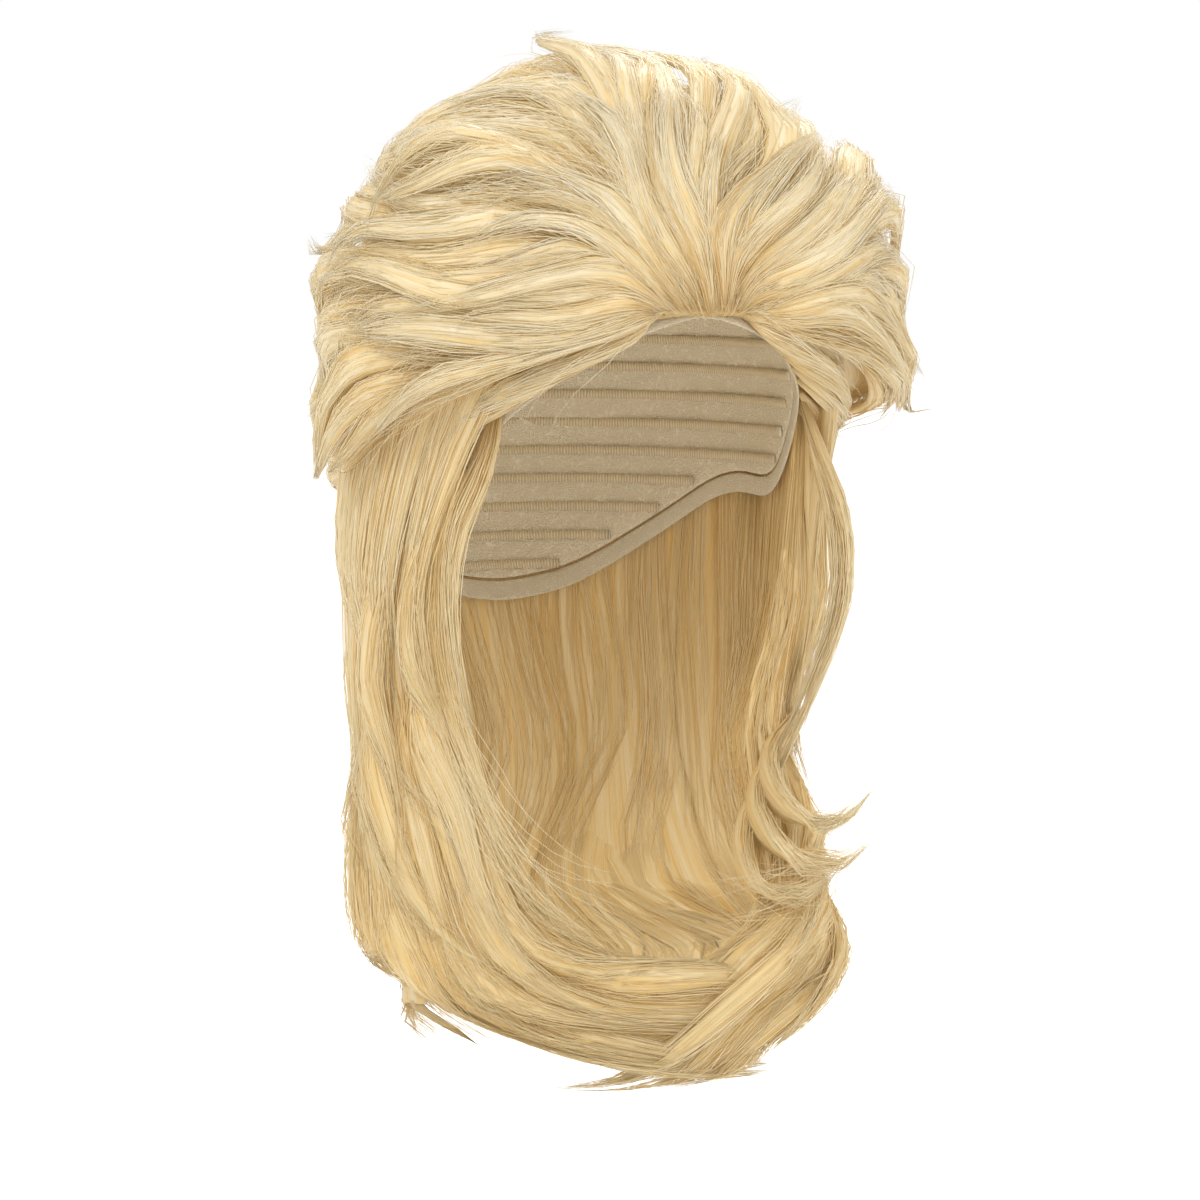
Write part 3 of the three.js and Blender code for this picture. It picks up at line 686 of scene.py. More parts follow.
# %% The fibres of one lock
def scatter(row, fibres, rng):
    """Random places near the outer skin of a lock that has a core, or all through one that has none."""
    if row["core"]:
        angle = rng.uniform(-0.35, math.pi + 0.35, (fibres, 1))
        reach = rng.uniform(row["core"] - 0.06, 1.05, (fibres, 1))
    else:
        angle = rng.uniform(0, 2 * math.pi, (fibres, 1))
        reach = np.sqrt(rng.uniform(0, 1, (fibres, 1)))
    return reach * np.cos(angle), reach * np.sin(angle)


def frizz_of(fibres, s, size, rng):
    """A slow sideways wobble for each fibre, in metres, that is nothing at the root."""
    phase = rng.uniform(0.5, 1.8, (fibres, 1)) * s + rng.uniform(0, 1, (fibres, 1))
    return size * np.sin(2 * math.pi * phase) * np.minimum(1, 3 * s)


def gathered(row, s):
    """How wide a lock is along its length: it swells past its root and ends in a point."""
    return np.minimum(1, 0.4 + 2.2 * s) * (1 - row["point"] * s**2)


def lock_spread(row, fibres, rng):
    """For each point of each fibre: how far along its lock, sideways and up from its middle it lies."""
    x, y = scatter(row, fibres, rng)
    x_end, y_end = scatter(row, fibres, rng)
    stop = 1 - row["feather"] * rng.uniform(0, 1, (fibres, 1)) ** 1.5
    s = np.linspace(0, 1, row["steps"])[None, :] * stop
    x = x + (x_end - x) * row["cross"] * s
    y = y + (y_end - y) * row["cross"] * s
    stray = row["frizz"] * np.where(rng.uniform(0, 1, (fibres, 1)) < row["strays"], 4, 1)
    sideways = x * row["width"] / 2 * gathered(row, s) + frizz_of(fibres, s, stray, rng)
    up = y * row["thick"] / 2 * gathered(row, s) + frizz_of(fibres, s, stray, rng)
    # Fibres lower in the lock, towards the hair beneath, get a deeper tint: painted shade.
    tint = np.clip(row["tone"] + 0.10 * rng.normal() + 0.12 * y[:, 0] + 0.19 * rng.normal(size=fibres), 0, 1)
    return s, sideways, up, tint


def tapered(row, fibres):
    t = np.linspace(0, 1, row["steps"])[None, :]
    return row["radius"] * np.minimum(1, 0.6 + 3 * t) * (1 - 0.75 * t**3) * np.ones((fibres, 1))


# %% The core of one lock
CORE_SIDES = 8
CORE_STEPS = 14
MAP_WIDTH = 0.05


def core_spread(row):
    """The same places for the skin of a lock's core, a little inside its outermost fibres."""
    angle = np.linspace(-math.pi / 2, 1.5 * math.pi, CORE_SIDES, endpoint=False)[:, None]
    t = np.linspace(0, 1, CORE_STEPS)[None, :] * np.ones((CORE_SIDES, 1))
    s = t * (1 - 0.5 * row["feather"])
    fill = row["core"] * gathered(row, s) * (1 - t**4)
    return s, np.cos(angle) * row["width"] / 2 * fill, np.sin(angle) * row["thick"] / 2 * fill


def core_mesh(curves, number):
    """A closed skin over the curves that run along a core: points, triangles and UV map."""
    tip = curves[:, -1].mean(0)
    curves = curves[:, :-1]
    sides, steps, _ = curves.shape
    skin = curves.transpose(1, 0, 2).reshape(-1, 3)
    points = np.vstack([skin, curves[:, 0].mean(0), tip])
    index, faces = ring_faces(steps, sides)
    root, end = len(skin), len(skin) + 1
    near, far = index[0], index[-1]
    faces.append(np.stack([np.roll(near, -1), near, np.full(sides, root)], -1))
    faces.append(np.stack([far, np.roll(far, -1), np.full(sides, end)], -1))
    girth = np.linalg.norm(np.roll(curves, -1, axis=0) - curves, axis=2).sum(0).max() / MAP_WIDTH
    u = 3.7 * number + girth * np.arange(sides) / sides
    v = np.linspace(0, 1, steps)
    uv = np.stack([np.tile(u, steps), np.repeat(v, sides)], -1)
    uv = np.vstack([uv, [u[0], 0], [u[0], 1]])
    triangles = np.concatenate(faces)
    corner = points[triangles[0]]
    normal = np.cross(corner[1] - corner[0], corner[2] - corner[0])
    if np.dot(normal, corner[0] - skin[index[0]].mean(0)) < 0:
        triangles = triangles[:, ::-1]
    return points, triangles, uv


# %% Combing a row of locks
HOOK_START = 0.55
LEAST_LIFT = 0.0006


def new_lock(form, row, middle, rng):
    """Draws one lock's bends. Gives a function from places in the lock to places on the wig."""
    start = row["start"] + row["start_jitter"] * rng.uniform(-1, 1)
    end = row["end"] + row["end_jitter"] * rng.uniform(-1, 1)
    perk = row["perk"] if rng.uniform() < row["perky"] else 1
    wave, phase = row["wave"] * rng.uniform(0.5, 1.2), rng.uniform(0.22, 0.38) + 0.6 * abs(middle)
    down = row["droop"] * np.clip(middle / 0.6, -1, 1)
    swing = row["swing"] * rng.uniform(-1, 1)
    curl = row["curl"] * perk * ((1 - abs(down)) * rng.uniform(-1, 1) + down * rng.uniform(0.3, 1))
    stack = row["stack"] * rng.uniform(-0.4, 1)
    tip = row["tip"] * perk * rng.uniform(0.2, 1.2) * form.stand(middle)

    def place(s, sideways, up):
        hook = np.clip((s - HOOK_START) / (1 - HOOK_START), 0, 1) ** 2
        along = start + (end - start) * s * (1 - row["curl_back"] * min(perk, 1.6) * hook)
        bent = wave * np.sin(2 * math.pi * (along / form.period + phase)) * np.minimum(1, 2 * s)
        sideways = sideways + bent + swing * s**2 + curl * hook
        across = form.kept(middle + sideways * form.per_metre(middle, along))
        rise = row["low"] + (row["high"] - row["low"]) * np.minimum(1, s / HOOK_START)
        lift = form.depth(across, along) * rise + up + stack * np.sin(math.pi * np.minimum(s, 0.75))
        lift = np.maximum(lift + tip * hook, LEAST_LIFT)
        return form.place(across, along, lift), form.outward(across, along)

    return place


def comb(form, row, low, high, rng):
    """One row of locks between two places across: the tubes of its fibres, and the skins of its cores."""
    fibres, cores = [], []
    count = max(1, round((high - low) / row["pitch"]))
    for i in range(count):
        middle = low + (i + 0.5 + 0.35 * rng.uniform(-1, 1)) * (high - low) / count
        place = new_lock(form, row, middle, rng)
        number = int(row["fibres"] * rng.uniform(0.85, 1.15))
        s, sideways, up, tint = lock_spread(row, number, rng)
        curves, outward = place(s, sideways, up)
        fibres.append(tubes(curves, outward, tapered(row, number), tint))
        if row["core"]:
            cores.append(core_mesh(place(*core_spread(row))[0], rng.integers(100)))
    return fibres, cores


def wisps(form, row, low, high, rng):
    """Loose single fibres that stand off the hair."""
    fibres = row["fibres"]
    t = np.linspace(0, 1, row["steps"])[None, :]
    length = row["length"] * rng.uniform(0.5, 1.3, (fibres, 1))
    along = rng.uniform(row["start"], row["end"], (fibres, 1)) + length * t
    middle = rng.uniform(low, high, (fibres, 1))
    sideways = row["swing"] * rng.normal(size=(fibres, 1)) * t**2 + frizz_of(fibres, t, row["frizz"], rng)
    across = middle + sideways * form.per_metre(middle, along)
    lift = form.depth(across, along) * 0.96 + row["lift"] * rng.uniform(-0.2, 1, (fibres, 1)) * t**1.5
    curves = form.place(across, along, np.maximum(lift, LEAST_LIFT))
    tint = np.clip(0.7 + 0.15 * rng.normal(size=fibres), 0, 1)
    return [tubes(curves, form.outward(across, along), tapered(row, fibres), tint)]


# %% Combing a lock that hangs free
def curve_through(points, at):
    """Places at shares `at` of a smooth curve through points given in millimetres."""
    points = np.array(points, float) / 1000
    steps = np.concatenate([[0], np.cumsum(np.linalg.norm(np.diff(points, axis=0), axis=1))])
    columns = [smooth_rows(steps / steps[-1], points[:, [axis]], at) for axis in range(3)]
    return np.stack(columns, -1)


def hang(row, s, sideways, up):
    """Places in a free lock that keeps to its own curve."""
    middle = curve_through(row["points"], s.ravel()).reshape(*s.shape, 3)
    forward = np.gradient(middle, axis=1)
    forward /= np.linalg.norm(forward, axis=2, keepdims=True) + 1e-12
    outward = middle * [1, 1, 0]
    outward -= forward * (outward * forward).sum(2, keepdims=True)
    outward /= np.linalg.norm(outward, axis=2, keepdims=True) + 1e-12
    side = np.cross(forward, outward)
    return middle + side * sideways[..., None] + outward * up[..., None], outward


def free_lock(row, rng):
    s, sideways, up, tint = lock_spread(row, row["fibres"], rng)
    curves, outward = hang(row, s, sideways, up)
    fibres = [tubes(curves, outward, tapered(row, row["fibres"]), tint)]
    cores = [core_mesh(hang(row, *core_spread(row))[0], rng.integers(100))] if row["core"] else []
    return fibres, cores


# %% The wall of combed hair under the locks
def shell(form, across, along, low, high, ribs, fade):
    """A closed wall, ribbed like locks that lie side by side. Past `fade` it thins towards its far edge."""
    a, b = np.meshgrid(across, along, indexing="ij")
    depth = form.depth(a, b)
    groove = 1 - 0.14 * (0.5 + 0.5 * np.cos(ribs * a + 2.2 * np.sin(3 * b)))
    thin = 1 - 0.85 * np.clip((b - fade) / (along[-1] - fade + 1e-9), 0, 1) ** 2
    outer = form.place(a, b, np.maximum(depth * (low + (high * groove - low) * thin), 0.0015))
    inner = form.place(a, b, np.maximum(depth * low, 0.0008))
    rows, columns = a.shape
    points = np.concatenate([outer.reshape(-1, 3), inner.reshape(-1, 3)])
    index = np.arange(rows * columns).reshape(rows, columns)
    p, q = index[:-1, :-1].ravel(), index[1:, :-1].ravel()
    r, s = index[1:, 1:].ravel(), index[:-1, 1:].ravel()
    under = rows * columns
    faces = [np.stack([p, q, r], 1), np.stack([p, r, s], 1)]
    faces += [np.stack([p, r, q], 1) + under, np.stack([p, s, r], 1) + under]
    rim = np.concatenate([index[:-1, 0], index[-1, :-1], index[:0:-1, -1], index[0, :0:-1]])
    ahead = np.roll(rim, -1)
    faces += [np.stack([rim, ahead + under, ahead], 1), np.stack([rim, rim + under, ahead + under], 1)]
    triangles = np.concatenate(faces)
    corners = points[triangles[: len(p)]]
    normal = np.cross(corners[:, 1] - corners[:, 0], corners[:, 2] - corners[:, 0])
    if np.einsum("ij,ij->i", normal, form.outward(a, b)[:-1, :-1].reshape(-1, 3)).sum() < 0:
        triangles = triangles[:, ::-1]
    u = (a - across[0]) / form.per_metre(a, np.full_like(b, 1.2)) / MAP_WIDTH
    v = (b - along[0]) / (along[-1] - along[0])
    outer_map = np.stack([u.ravel(), v.ravel()], 1)
    return points, triangles, np.concatenate([outer_map, outer_map + [0.6, 0]])


# %% [markdown]
# ## The short hair
#
# Combed-back hair lies like roof tiles: each row of locks starts under the row in front and ends on top
# of the row behind. The first rows are smooth, and towards the back they wave and curl, and some tips
# perk up, which gives the crown its ragged outline. Along the temples a file of small locks is rooted on
# the band's front edge itself, because rows that start behind it would leave the band bare.

# %% Rows of short locks
D = math.pi / 180
SHORT_COMMON = dict(
    steps=8, start_jitter=5 * D, end_jitter=8 * D, feather=0.3, point=0.85, frizz=0.0006, strays=0.05,
    cross=0.3, curl_back=0.1, radius=0.00024, perk=1.7, perky=0.3, core=0.82, droop=0.75, tone=0.66,
)
SHORT_ROWS = [
    dict(start=4 * D, end=62 * D, low=0.8, high=0.99, width=0.021, thick=0.010, wave=0.011,
         swing=0.018, curl=0.016, tip=0.004, stack=0.004, fibres=40, pitch=7 * D, perky=0.1),
    dict(start=24 * D, end=90 * D, low=0.70, high=1.02, width=0.020, thick=0.010, wave=0.014,
         swing=0.026, curl=0.030, tip=0.010, stack=0.006, fibres=37, pitch=6.5 * D, curl_back=0.2),
    dict(start=52 * D, end=120 * D, low=0.70, high=1.02, width=0.019, thick=0.010, wave=0.016,
         swing=0.030, curl=0.036, tip=0.010, stack=0.007, fibres=32, pitch=6 * D, curl_back=0.3, perky=0.4),
]
VEIL = dict(
    low=0.86, high=0.97, width=0.05, stack=0.002, pitch=10 * D, perky=0, core=0, cross=0.7, feather=0.55,
    point=0.3, frizz=0.0008, tone=0.62,
)
VEILS = [
    dict(VEIL, start=5 * D, end=72 * D, thick=0.006, wave=0.011, swing=0.02, curl=0.02, tip=0.002, fibres=72),
    dict(VEIL, start=34 * D, end=108 * D, thick=0.008, wave=0.014, swing=0.03, curl=0.03, tip=0.003,
         fibres=66),
]
# Locks that lie flat, for the hairline and the rims.
CALM = dict(wave=0.003, swing=0.004, curl=0.004, tip=0, stack=0, perky=0)
HAIRLINE = dict(
    CALM, start=0.5 * D, end=30 * D, low=0.2, high=0.85, width=0.014, thick=0.006, swing=0.008, fibres=36,
    pitch=5 * D, steps=7, start_jitter=0.5 * D,
)
BACK_ROWS = [
    dict(start=88 * D, end=148 * D, low=0.72, high=0.96, width=0.020, thick=0.010, wave=0.016,
         swing=0.026, curl=0.030, tip=0.006, stack=0.006, fibres=36, pitch=7 * D, curl_back=0.25),
    dict(start=118 * D, end=178 * D, low=0.72, high=0.94, width=0.022, thick=0.010, wave=0.014,
         swing=0.016, curl=0.024, tip=0.004, stack=0.004, fibres=36, pitch=9 * D, curl_back=0.1),
]


def rim_rows(start, end):
    """Rows low down at the lower rim, one above another, that cover the underside of the hair there."""
    return [
        dict(CALM, start=start, end=end, low=share, high=share, width=0.016, thick=0.008, fibres=24,
             pitch=4.5 * D, steps=8)
        for share in (0.2, 0.45, 0.7)
    ]


FRONT_RIM = rim_rows(5 * D, 76 * D)
BACK_RIM = rim_rows(80 * D, 150 * D)
SHORT_WISPS = dict(
    fibres=72, steps=9, start=8 * D, end=80 * D, length=34 * D, swing=0.014, frizz=0.0015, lift=0.011,
    radius=0.00015,
)
HAIRLINE_WISPS = dict(
    fibres=60, steps=6, start=-3 * D, end=12 * D, length=13 * D, swing=0.008, frizz=0.001, lift=0.004,
    radius=0.00014,
)
# Each root of the temple locks: its spread from the parting, and its turn back from the hairline, in degrees.
TEMPLE_ROOTS = [
    (103.5, 3), (104.2, 12), (104.8, 22), (105.6, 30), (106.6, 37), (107.6, 44), (108.6, 52), (109.4, 61),
]
TEMPLE_FALL = 48
TEMPLE_HALF_STEP = 0.6
TEMPLE_ROW = dict(
    CALM, low=0.03, high=0.5, width=0.014, thick=0.007, fibres=44, steps=7, pitch=2 * D, start_jitter=D,
)
SHORT_WALL = dict(low=0.02, high=0.74, ribs=22)
WALL_EDGE = 96 * D
RIM_START = 92 * D
RIM_END = 101 * D
LOWEST = 104 * D


def add_hair(name, node, wall, fibres, cores):
    """Makes a section's two meshes: its combed walls and cores, and its fibres."""
    body = make_mesh(name + "_locks", *joined([wall, *cores]), hair_body)
    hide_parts(node)
    hair = make_mesh(name + "_fibres", *joined(fibres), fibre)
    print(name, len(body.data.polygons), "+", len(hair.data.polygons), "triangles")


def temple_locks(side, rng):
    """Locks whose roots lie along the band's front edge, from its top down to its lowest point."""
    return [
        comb(
            temple,
            {**SHORT_COMMON, **TEMPLE_ROW, "start": start * D, "end": (start + TEMPLE_FALL) * D},
            side * (spread - TEMPLE_HALF_STEP) * D,
            side * (spread + TEMPLE_HALF_STEP) * D,
            rng,
        )
        for spread, start in TEMPLE_ROOTS
    ]


def short_piece(name, node, low, high, rows, backs, seed):
    rng = np.random.default_rng(seed)
    edges = np.clip([low, high], -WALL_EDGE, WALL_EDGE)
    wall = shell(crown, np.linspace(*edges, 30), np.linspace(*backs, 36), fade=backs[1], **SHORT_WALL)
    made = [comb(crown, {**SHORT_COMMON, **row}, low, high, rng) for row in rows]
    front = backs == FRONT_BACKS
    rim = FRONT_RIM if front else BACK_RIM
    for reached, ends in ((high == LOWEST, (RIM_START, RIM_END)), (low == -LOWEST, (-RIM_END, -RIM_START))):
        if reached:
            made += [comb(crown, {**SHORT_COMMON, **row}, *ends, rng) for row in rim]
    if front and LOWEST in (high, -low):
        made += temple_locks(np.sign(low + high), rng)
    fibres = [part for row in made for part in row[0]]
    cores = [part for row in made for part in row[1]]
    fibres += wisps(crown, SHORT_WISPS, low, high, rng)
    if front:
        fibres += wisps(crown, HAIRLINE_WISPS, low, high, rng)
    add_hair(name, node, wall, fibres, cores)


FRONT_BACKS = (0.5 * D, 112 * D)
REAR_BACKS = (110 * D, 176 * D)
FRONT_ROWS = [HAIRLINE, *SHORT_ROWS, *VEILS]
TOP_EDGE = 35 * D
CROWN_EDGE = 70 * D
FRONT_PIECES = [
    dict(name="top", low=-TOP_EDGE, high=TOP_EDGE, seed=1),
    dict(name="crown_right", low=-CROWN_EDGE, high=-TOP_EDGE, seed=2),
    dict(name="crown_left", low=TOP_EDGE, high=CROWN_EDGE, seed=3),
    dict(name="side_right", low=-LOWEST, high=-CROWN_EDGE, seed=4),
    dict(name="side_left", low=CROWN_EDGE, high=LOWEST, seed=5),
]
for piece in FRONT_PIECES:
    short_piece(node="hair_" + piece["name"], rows=FRONT_ROWS, backs=FRONT_BACKS, **piece)
short_piece("back", "hair_back_crown", -LOWEST, LOWEST, BACK_ROWS, REAR_BACKS, 6)

# %% [markdown]
# ## The long hair
#
# The long hair is cut in layers: each lock ends in a point above the ones below it, and bends in a slow
# S. The front ends sweep forward, and the two sides cross low down at the front. At the back, locks that
# are rooted in the short hair fall over the long hair, so no straight hem shows where the two meet, and a
# thin lining inside the ends closes the gaps between the inner locks.

# %% Rows of long locks
LONG_COMMON = dict(
    steps=9, start_jitter=0.06, end_jitter=0.07, feather=0.28, point=0.85, frizz=0.0006, strays=0.04,
    cross=0.3, curl_back=0, droop=0, tone=0.62, wave=0.013, swing=0.018, curl=0.022, radius=0.00024,
    perk=2, perky=0.35, stack=0.007, width=0.028, thick=0.011, core=0.84,
)
LONG_ROWS = [
    dict(start=0.0, end=0.62, low=0.70, high=0.96, fibres=36, pitch=0.075, tip=0.006),
    dict(start=0.24, end=0.88, low=0.68, high=0.94, fibres=38, pitch=0.075, tip=0.004),
    dict(start=0.46, end=1.0, low=0.62, high=0.88, fibres=38, pitch=0.07, tip=0.001, swing=0.008, curl=0.006,
         end_jitter=0.05),
]
CROSS_ROW = dict(
    start=0.62, end=1.17, low=0.4, high=0.7, fibres=40, pitch=0.042, end_jitter=0.04, tip=0.001,
    swing=0.008, curl=0.006,
)
INNER_ROW = dict(
    start=0.02, end=1.08, low=0.04, high=0.10, width=0.03, thick=0.004, fibres=30, pitch=0.08, tip=0, stack=0,
    core=0,
)
INNER_ENDS = dict(
    start=0.42, end=1.15, low=0.4, high=0.03, width=0.034, thick=0.006, fibres=44, pitch=0.036, tip=0,
    stack=0, core=0.6, point=0.4, feather=0.12, curl=0.004, swing=0.008, steps=8, end_jitter=0.1,
)
LONG_EDGE_ROWS = [
    dict(start=0.0, end=end, low=share, high=share, width=0.014, thick=0.006, fibres=30, pitch=0.04,
         tip=0, stack=0, swing=0.004, wave=0.004, curl=0.004)
    for share, end in ((0.15, 1.12), (0.4, 1.06), (0.7, 1.0))
]
LONG_WISPS = dict(
    fibres=50, steps=9, start=0.1, end=0.8, length=0.28, swing=0.014, frizz=0.0015, lift=0.010,
    radius=0.00015,
)
LONG_WALL = dict(low=0.1, high=0.72, ribs=60, fade=0.6)
LINING = dict(low=0.16, high=0.3, ribs=60, fade=0.8)
LONG_EDGE = 0.93
INNER_SHARE = 0.85
LINING_SHARE = 0.9
EDGE_SHARES = (0.92, 1.0)
CROSS_SHARES = (0.62, 0.96)
BACK_DRAPE = np.linspace(-0.41, 0.41, 15)
SIDE_DRAPE = np.linspace(0.45, 0.97, 12)


def long_piece(name, node, low, high, seed, extra=()):
    rng = np.random.default_rng(seed)
    edges = np.clip([low, high], -LONG_EDGE, LONG_EDGE)
    wall = shell(tail, np.linspace(*edges, 40), np.linspace(0, 0.86, 44), **LONG_WALL)
    made = [comb(tail, {**LONG_COMMON, **row}, low, high, rng) for row in [*LONG_ROWS, INNER_ROW]]
    if low > -0.5 and high < 0.5:
        made.append(comb(tail, {**LONG_COMMON, **INNER_ENDS}, INNER_SHARE * low, INNER_SHARE * high, rng))
        made += drape(BACK_DRAPE, rng)
        across = np.linspace(LINING_SHARE * low, LINING_SHARE * high, 30)
        made.append(([], [shell(tail, across, np.linspace(0.6, 1.06, 16), **LINING)]))
    for side in (-1, 1):
        if side * (low + high) > 0:
            ends = sorted(side * share for share in EDGE_SHARES)
            made += [comb(tail, {**LONG_COMMON, **row}, *ends, rng) for row in LONG_EDGE_ROWS]
            front = sorted(side * share for share in CROSS_SHARES)
            made.append(comb(tail, {**LONG_COMMON, **CROSS_ROW}, *front, rng))
            made += drape(side * SIDE_DRAPE, rng)
    made += [free_lock({**LONG_COMMON, **row}, rng) for row in extra]
    fibres = [part for row in made for part in row[0]]
    cores = [part for row in made for part in row[1]]
    fibres += wisps(tail, LONG_WISPS, low, high, rng)
    add_hair(name, node, wall, fibres, cores)


# Places in the short hair where the locks over the long hair start. Spreads and turns are in degrees. At the
# sides each lies `above` the place where the lock leaves, and at the back `depth` is a share of the hair's.
NAPE_SHARE = 0.25
NAPE_SPREAD = 88
NAPE_ROOTS = [dict(back=146, depth=0.88), dict(back=160, depth=0.86), dict(back=172, depth=0.66)]
SIDE_LEAVES = dict(share=0.66, back=100, slope=125)
SIDE_ROOTS = [dict(spread=78, above=30, lift=0.020), dict(spread=92, above=12, lift=0.019)]
DRAPE_ENDS = [
    dict(along=0.18, jitter=0, depth=1.2),
    dict(along=0.30, jitter=0, depth=1.05),
    dict(along=0.46, jitter=0.1, depth=1.0),
]


def drape_roots(share):
    """Places in the short hair, each below the last, over a share across the long hair."""
    if abs(share) > NAPE_SHARE:
        side = np.sign(share)
        leave = SIDE_LEAVES["back"] + SIDE_LEAVES["slope"] * (SIDE_LEAVES["share"] - abs(share))
        return [
            crown.place(root["spread"] * side * D, (leave - root["above"]) * D, np.array(root["lift"]))
            for root in SIDE_ROOTS
        ]
    spread = np.array(NAPE_SPREAD * D * share / NAPE_SHARE)
    backs = [np.array(root["back"] * D) for root in NAPE_ROOTS]
    depths = [crown.depth(spread, back) * root["depth"] for back, root in zip(backs, NAPE_ROOTS)]
    return [crown.place(spread, back, depth) for back, depth in zip(backs, depths)]


def drape(shares, rng):
    """Locks that leave the short hair above the long hair and fall over it."""
    locks = []
    for share in shares:
        share = np.array(share + 0.03 * rng.uniform(-1, 1))
        path = drape_roots(share)
        drift = rng.uniform(-1, 1)
        for end in DRAPE_ENDS:
            along = np.array(end["along"] + end["jitter"] * drift)
            path.append(tail.place(share, along, tail.depth(share, along) * end["depth"]))
        locks.append(free_lock({**LONG_COMMON, **DRAPE, "points": [1000 * p for p in path]}, rng))
    return locks


DRAPE = dict(width=0.022, thick=0.010, fibres=46)
FLICK = dict(width=0.029, thick=0.012, fibres=110, feather=0.2)
FLICK_PATHS = [
    [(88, -10, -202), (61, -32, -221), (55, -58, -234), (67, -72, -238), (83, -80, -222)],
    [(86, -10, -212), (55, -32, -233), (50, -58, -249), (67, -71, -255), (84, -79, -243)],
    [(81, -10, -224), (49, -32, -247), (40, -56, -263), (51, -69, -267), (68, -76, -257)],
]
FLICKS = [dict(points=path, **FLICK) for path in FLICK_PATHS]
SPRAY = dict(
    width=0.045, thick=0.014, fibres=40, core=0, point=-0.5, feather=0.6, cross=0.8, frizz=0.0015, strays=0.2,
    radius=0.00014, steps=10, tone=0.8,
)
RIGHT_SPRAY = dict(points=[(-104, -52, -178), (-98, -72, -216), (-74, -84, -250), (-34, -88, -274)], **SPRAY)
LEFT_SPRAY = dict(points=[(84, -48, -262), (65, -62, -266), (37, -72, -268), (-5, -80, -262)], **SPRAY)
long_piece("long_back", "tail_back", -0.445, 0.445, 11)
long_piece("long_right", "tail_right", -0.99, -0.45, 12, [RIGHT_SPRAY])
long_piece("long_left", "tail_left", 0.45, 0.99, 13, [*FLICKS, LEFT_SPRAY])

# %% [markdown]
# ## The sideburns
#
# These hang clear of the rest, so each is a lock on its own curve. They have no cores, because the real
# ones are thin enough to see through.

# %% Front locks
FRONT_LOCKS = {
    "sideburn_right": [
        dict(points=[(-70, -41, -66), (-75, -41, -88), (-84, -35, -114), (-86, -31, -140), (-84, -34, -172),
                     (-79, -40, -202)], width=0.014, thick=0.006, fibres=120),
    ],
    "sideburn_left": [
        dict(points=[(69, -45, -68), (77, -46, -88), (87, -48, -116), (88, -48, -150), (78, -42, -185),
                     (58, -36, -232)], width=0.020, thick=0.007, fibres=200),
        dict(points=[(71, -42, -68), (77, -42, -90), (85, -43, -118), (86, -43, -150), (76, -39, -184),
                     (62, -35, -215)], width=0.014, thick=0.006, fibres=120),
    ],
}
for number, (node, rows) in enumerate(FRONT_LOCKS.items()):
    rng = np.random.default_rng(21 + number)
    made = [free_lock({**LONG_COMMON, "core": 0, "feather": 0.4, **row}, rng) for row in rows]
    lock = make_mesh(node + "_fibres", *joined([part for row in made for part in row[0]]), fibre)
    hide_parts(node)
    print(node, len(lock.data.polygons), "triangles")

# %% [markdown]
# ## Cap and edge band
#
# The hair is sewn on a net cap whose edge is a ribbed elastic. Their solids are faceted, so each gets a
# smooth copy: its corners are merged, its triangles are paired into quads, and subdivision rounds them.

# %% Net pattern group
net, net_in, net_out = new_group(
    "net_weave",
    [("Place", "NodeSocketVector"), ("Cells", "NodeSocketFloat")],
    [("Color", "NodeSocketColor"), ("Height", "NodeSocketFloat")],
)
pattern = {"Vector": net_in.outputs["Place"], "Scale": net_in.outputs["Cells"], "Randomness": 0.8}
cells = add_node(net, "ShaderNodeTexVoronoi", pattern, feature="DISTANCE_TO_EDGE")
thread = add_ramp(net, cells.outputs["Distance"], [(0.03, (1, 1, 1)), (0.16, (0, 0, 0))])
colours = {"Factor": thread, "A": (*NET_HOLE, 1), "B": (*NET, 1)}
paint = add_node(net, "ShaderNodeMix", colours, data_type="RGBA")
net.links.new(paint.outputs["Result"], net_out.inputs["Color"])
net.links.new(thread, net_out.inputs["Height"])


def net_material(name, size, roughness):
    material, tree, shader = new_material(name, roughness)
    shader.inputs["Specular IOR Level"].default_value = 0.2
    place = add_node(tree, "ShaderNodeTexCoord", {})
    pattern = {"Place": place.outputs["Object"], "Cells": 1 / size}
    weave = add_node(tree, "ShaderNodeGroup", pattern, node_tree=net)
    tree.links.new(weave.outputs["Color"], shader.inputs["Base Color"])
    add_bump(tree, weave.outputs["Height"], shader, 0.8, 0.0004)
    return material


# %% Smooth copies
def smooth_copy(node, name, material):
    copy = bpy.data.objects.new(name, nodes[node].data.copy())
    bpy.context.scene.collection.objects.link(copy)
    bpy.ops.object.select_all(action="DESELECT")
    copy.select_set(True)
    bpy.context.view_layer.objects.active = copy
    bpy.ops.object.mode_set(mode="EDIT")
    bpy.ops.mesh.select_all(action="SELECT")
    bpy.ops.mesh.remove_doubles(threshold=0.00001)
    bpy.ops.mesh.tris_convert_to_quads(face_threshold=math.radians(60), shape_threshold=math.radians(60))
    bpy.ops.object.mode_set(mode="OBJECT")
    rounder = copy.modifiers.new("rounder", "SUBSURF")
    rounder.levels = rounder.render_levels = 2
    bpy.ops.object.modifier_apply(modifier=rounder.name)
    bpy.ops.object.shade_smooth()
    copy.data.materials.clear()
    copy.data.materials.append(material)
    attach(copy, "root")
    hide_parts(node)
    copy.select_set(False)
    print(name, len(copy.data.polygons), "faces")
    return copy


smooth_copy("wig_cap", "net_cap", net_material("fine_net", 0.0016, 0.8))
smooth_copy("edge_band", "elastic_band", net_material("ribbed_elastic", 0.0009, 0.7))

# %% [markdown]
# ## Wefts
#
# Inside a wig, each row of hair is sewn along a narrow band, the weft, and the wefts run round the cap
# from one side of its opening to the other. Rays from the middle of the cap find its inner side at the
# two edges of each band.

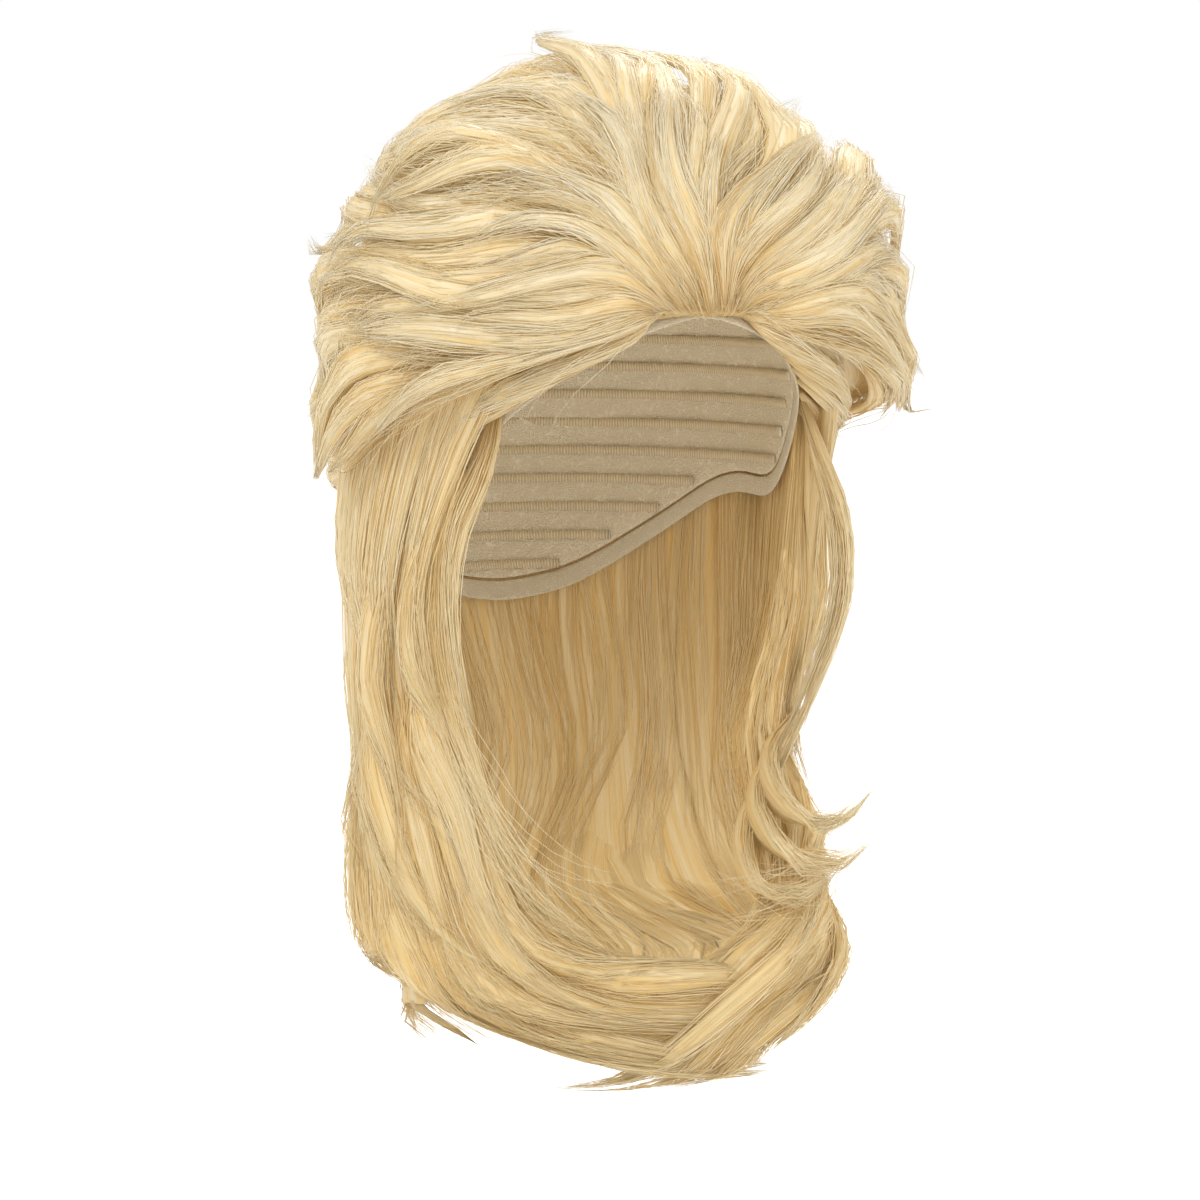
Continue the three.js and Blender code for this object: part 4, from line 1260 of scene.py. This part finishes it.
# %% Weft bands
WEFT_GAP = 0.012
WEFT_WIDTH = 0.0036
WEFT_THICK = 0.0009
WEFT_TURNS = np.radians(np.linspace(-150, 150, 101))
WEFT_CLEAR = 0.0009
HIGHEST_WEFT = -0.022
STITCH = 0.004

weft_paint, tree, shader = new_material("sewn_weft", 0.7)
pattern = {"Vector": own_map(tree), "Scale": 1, "Distortion": 1.5}
stitches = add_node(tree, "ShaderNodeTexWave", pattern, bands_direction="X").outputs["Fac"]
thread = add_ramp(tree, stitches, [(0.35, (0.80, 0.62, 0.36)), (0.6, (0.93, 0.84, 0.64))])
tree.links.new(thread, shader.inputs["Base Color"])
add_bump(tree, stitches, shader, 0.8, 0.0005)


def cap_reach(level):
    origins = np.zeros((len(WEFT_TURNS), 3))
    origins[:, 2] = level
    directions = np.stack([np.sin(WEFT_TURNS), np.cos(WEFT_TURNS), np.zeros_like(WEFT_TURNS)], 1)
    return reach_inside(cap_tree, origins, directions), directions


def weft(level):
    """One closed band round the inside of the cap, or nothing where the cap has ended."""
    (upper, directions), (lower, _) = cap_reach(level + WEFT_WIDTH / 2), cap_reach(level - WEFT_WIDTH / 2)
    kept = np.abs(upper - lower) < WEFT_WIDTH
    if kept.sum() < 12:
        return None
    upper, lower, directions = upper[kept], lower[kept], directions[kept]
    corners = []
    for radius, height in ((upper, 0.5), (lower, -0.5)):
        for inset in (WEFT_CLEAR, WEFT_CLEAR + WEFT_THICK):
            ring = directions * (radius - inset)[:, None]
            ring[:, 2] = level + height * WEFT_WIDTH
            corners.append(ring)
    points = np.stack([corners[0], corners[1], corners[3], corners[2]], 1)
    count = len(points)
    _, triangles = ring_faces(count, 4)
    triangles.append(np.array([[0, 2, 1], [0, 3, 2]]))
    triangles.append(np.array([[0, 1, 2], [0, 2, 3]]) + 4 * (count - 1))
    steps = np.linalg.norm(np.diff(points[:, 0], axis=0), axis=1)
    u = np.concatenate([[0], np.cumsum(steps)]) / STITCH
    uv = np.stack([np.repeat(u, 4), np.tile([0.0, 0.3, 0.7, 1.0], count)], 1)
    return points.reshape(-1, 3), np.concatenate(triangles)[:, ::-1], uv


cap_tree = tree_of(["wig_cap"])
levels = np.arange(HIGHEST_WEFT, cad_box[0][2] / 2, -WEFT_GAP)
bands = [band for band in (weft(level) for level in levels) if band is not None]
wefts = make_mesh("wefts", *joined(bands), weft_paint)
print("wefts:", len(bands))

# %% Report the sizes
total = sum(len(o.data.loops) - 2 * len(o.data.polygons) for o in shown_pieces() if o.type == "MESH")
print("triangles in all:", total)
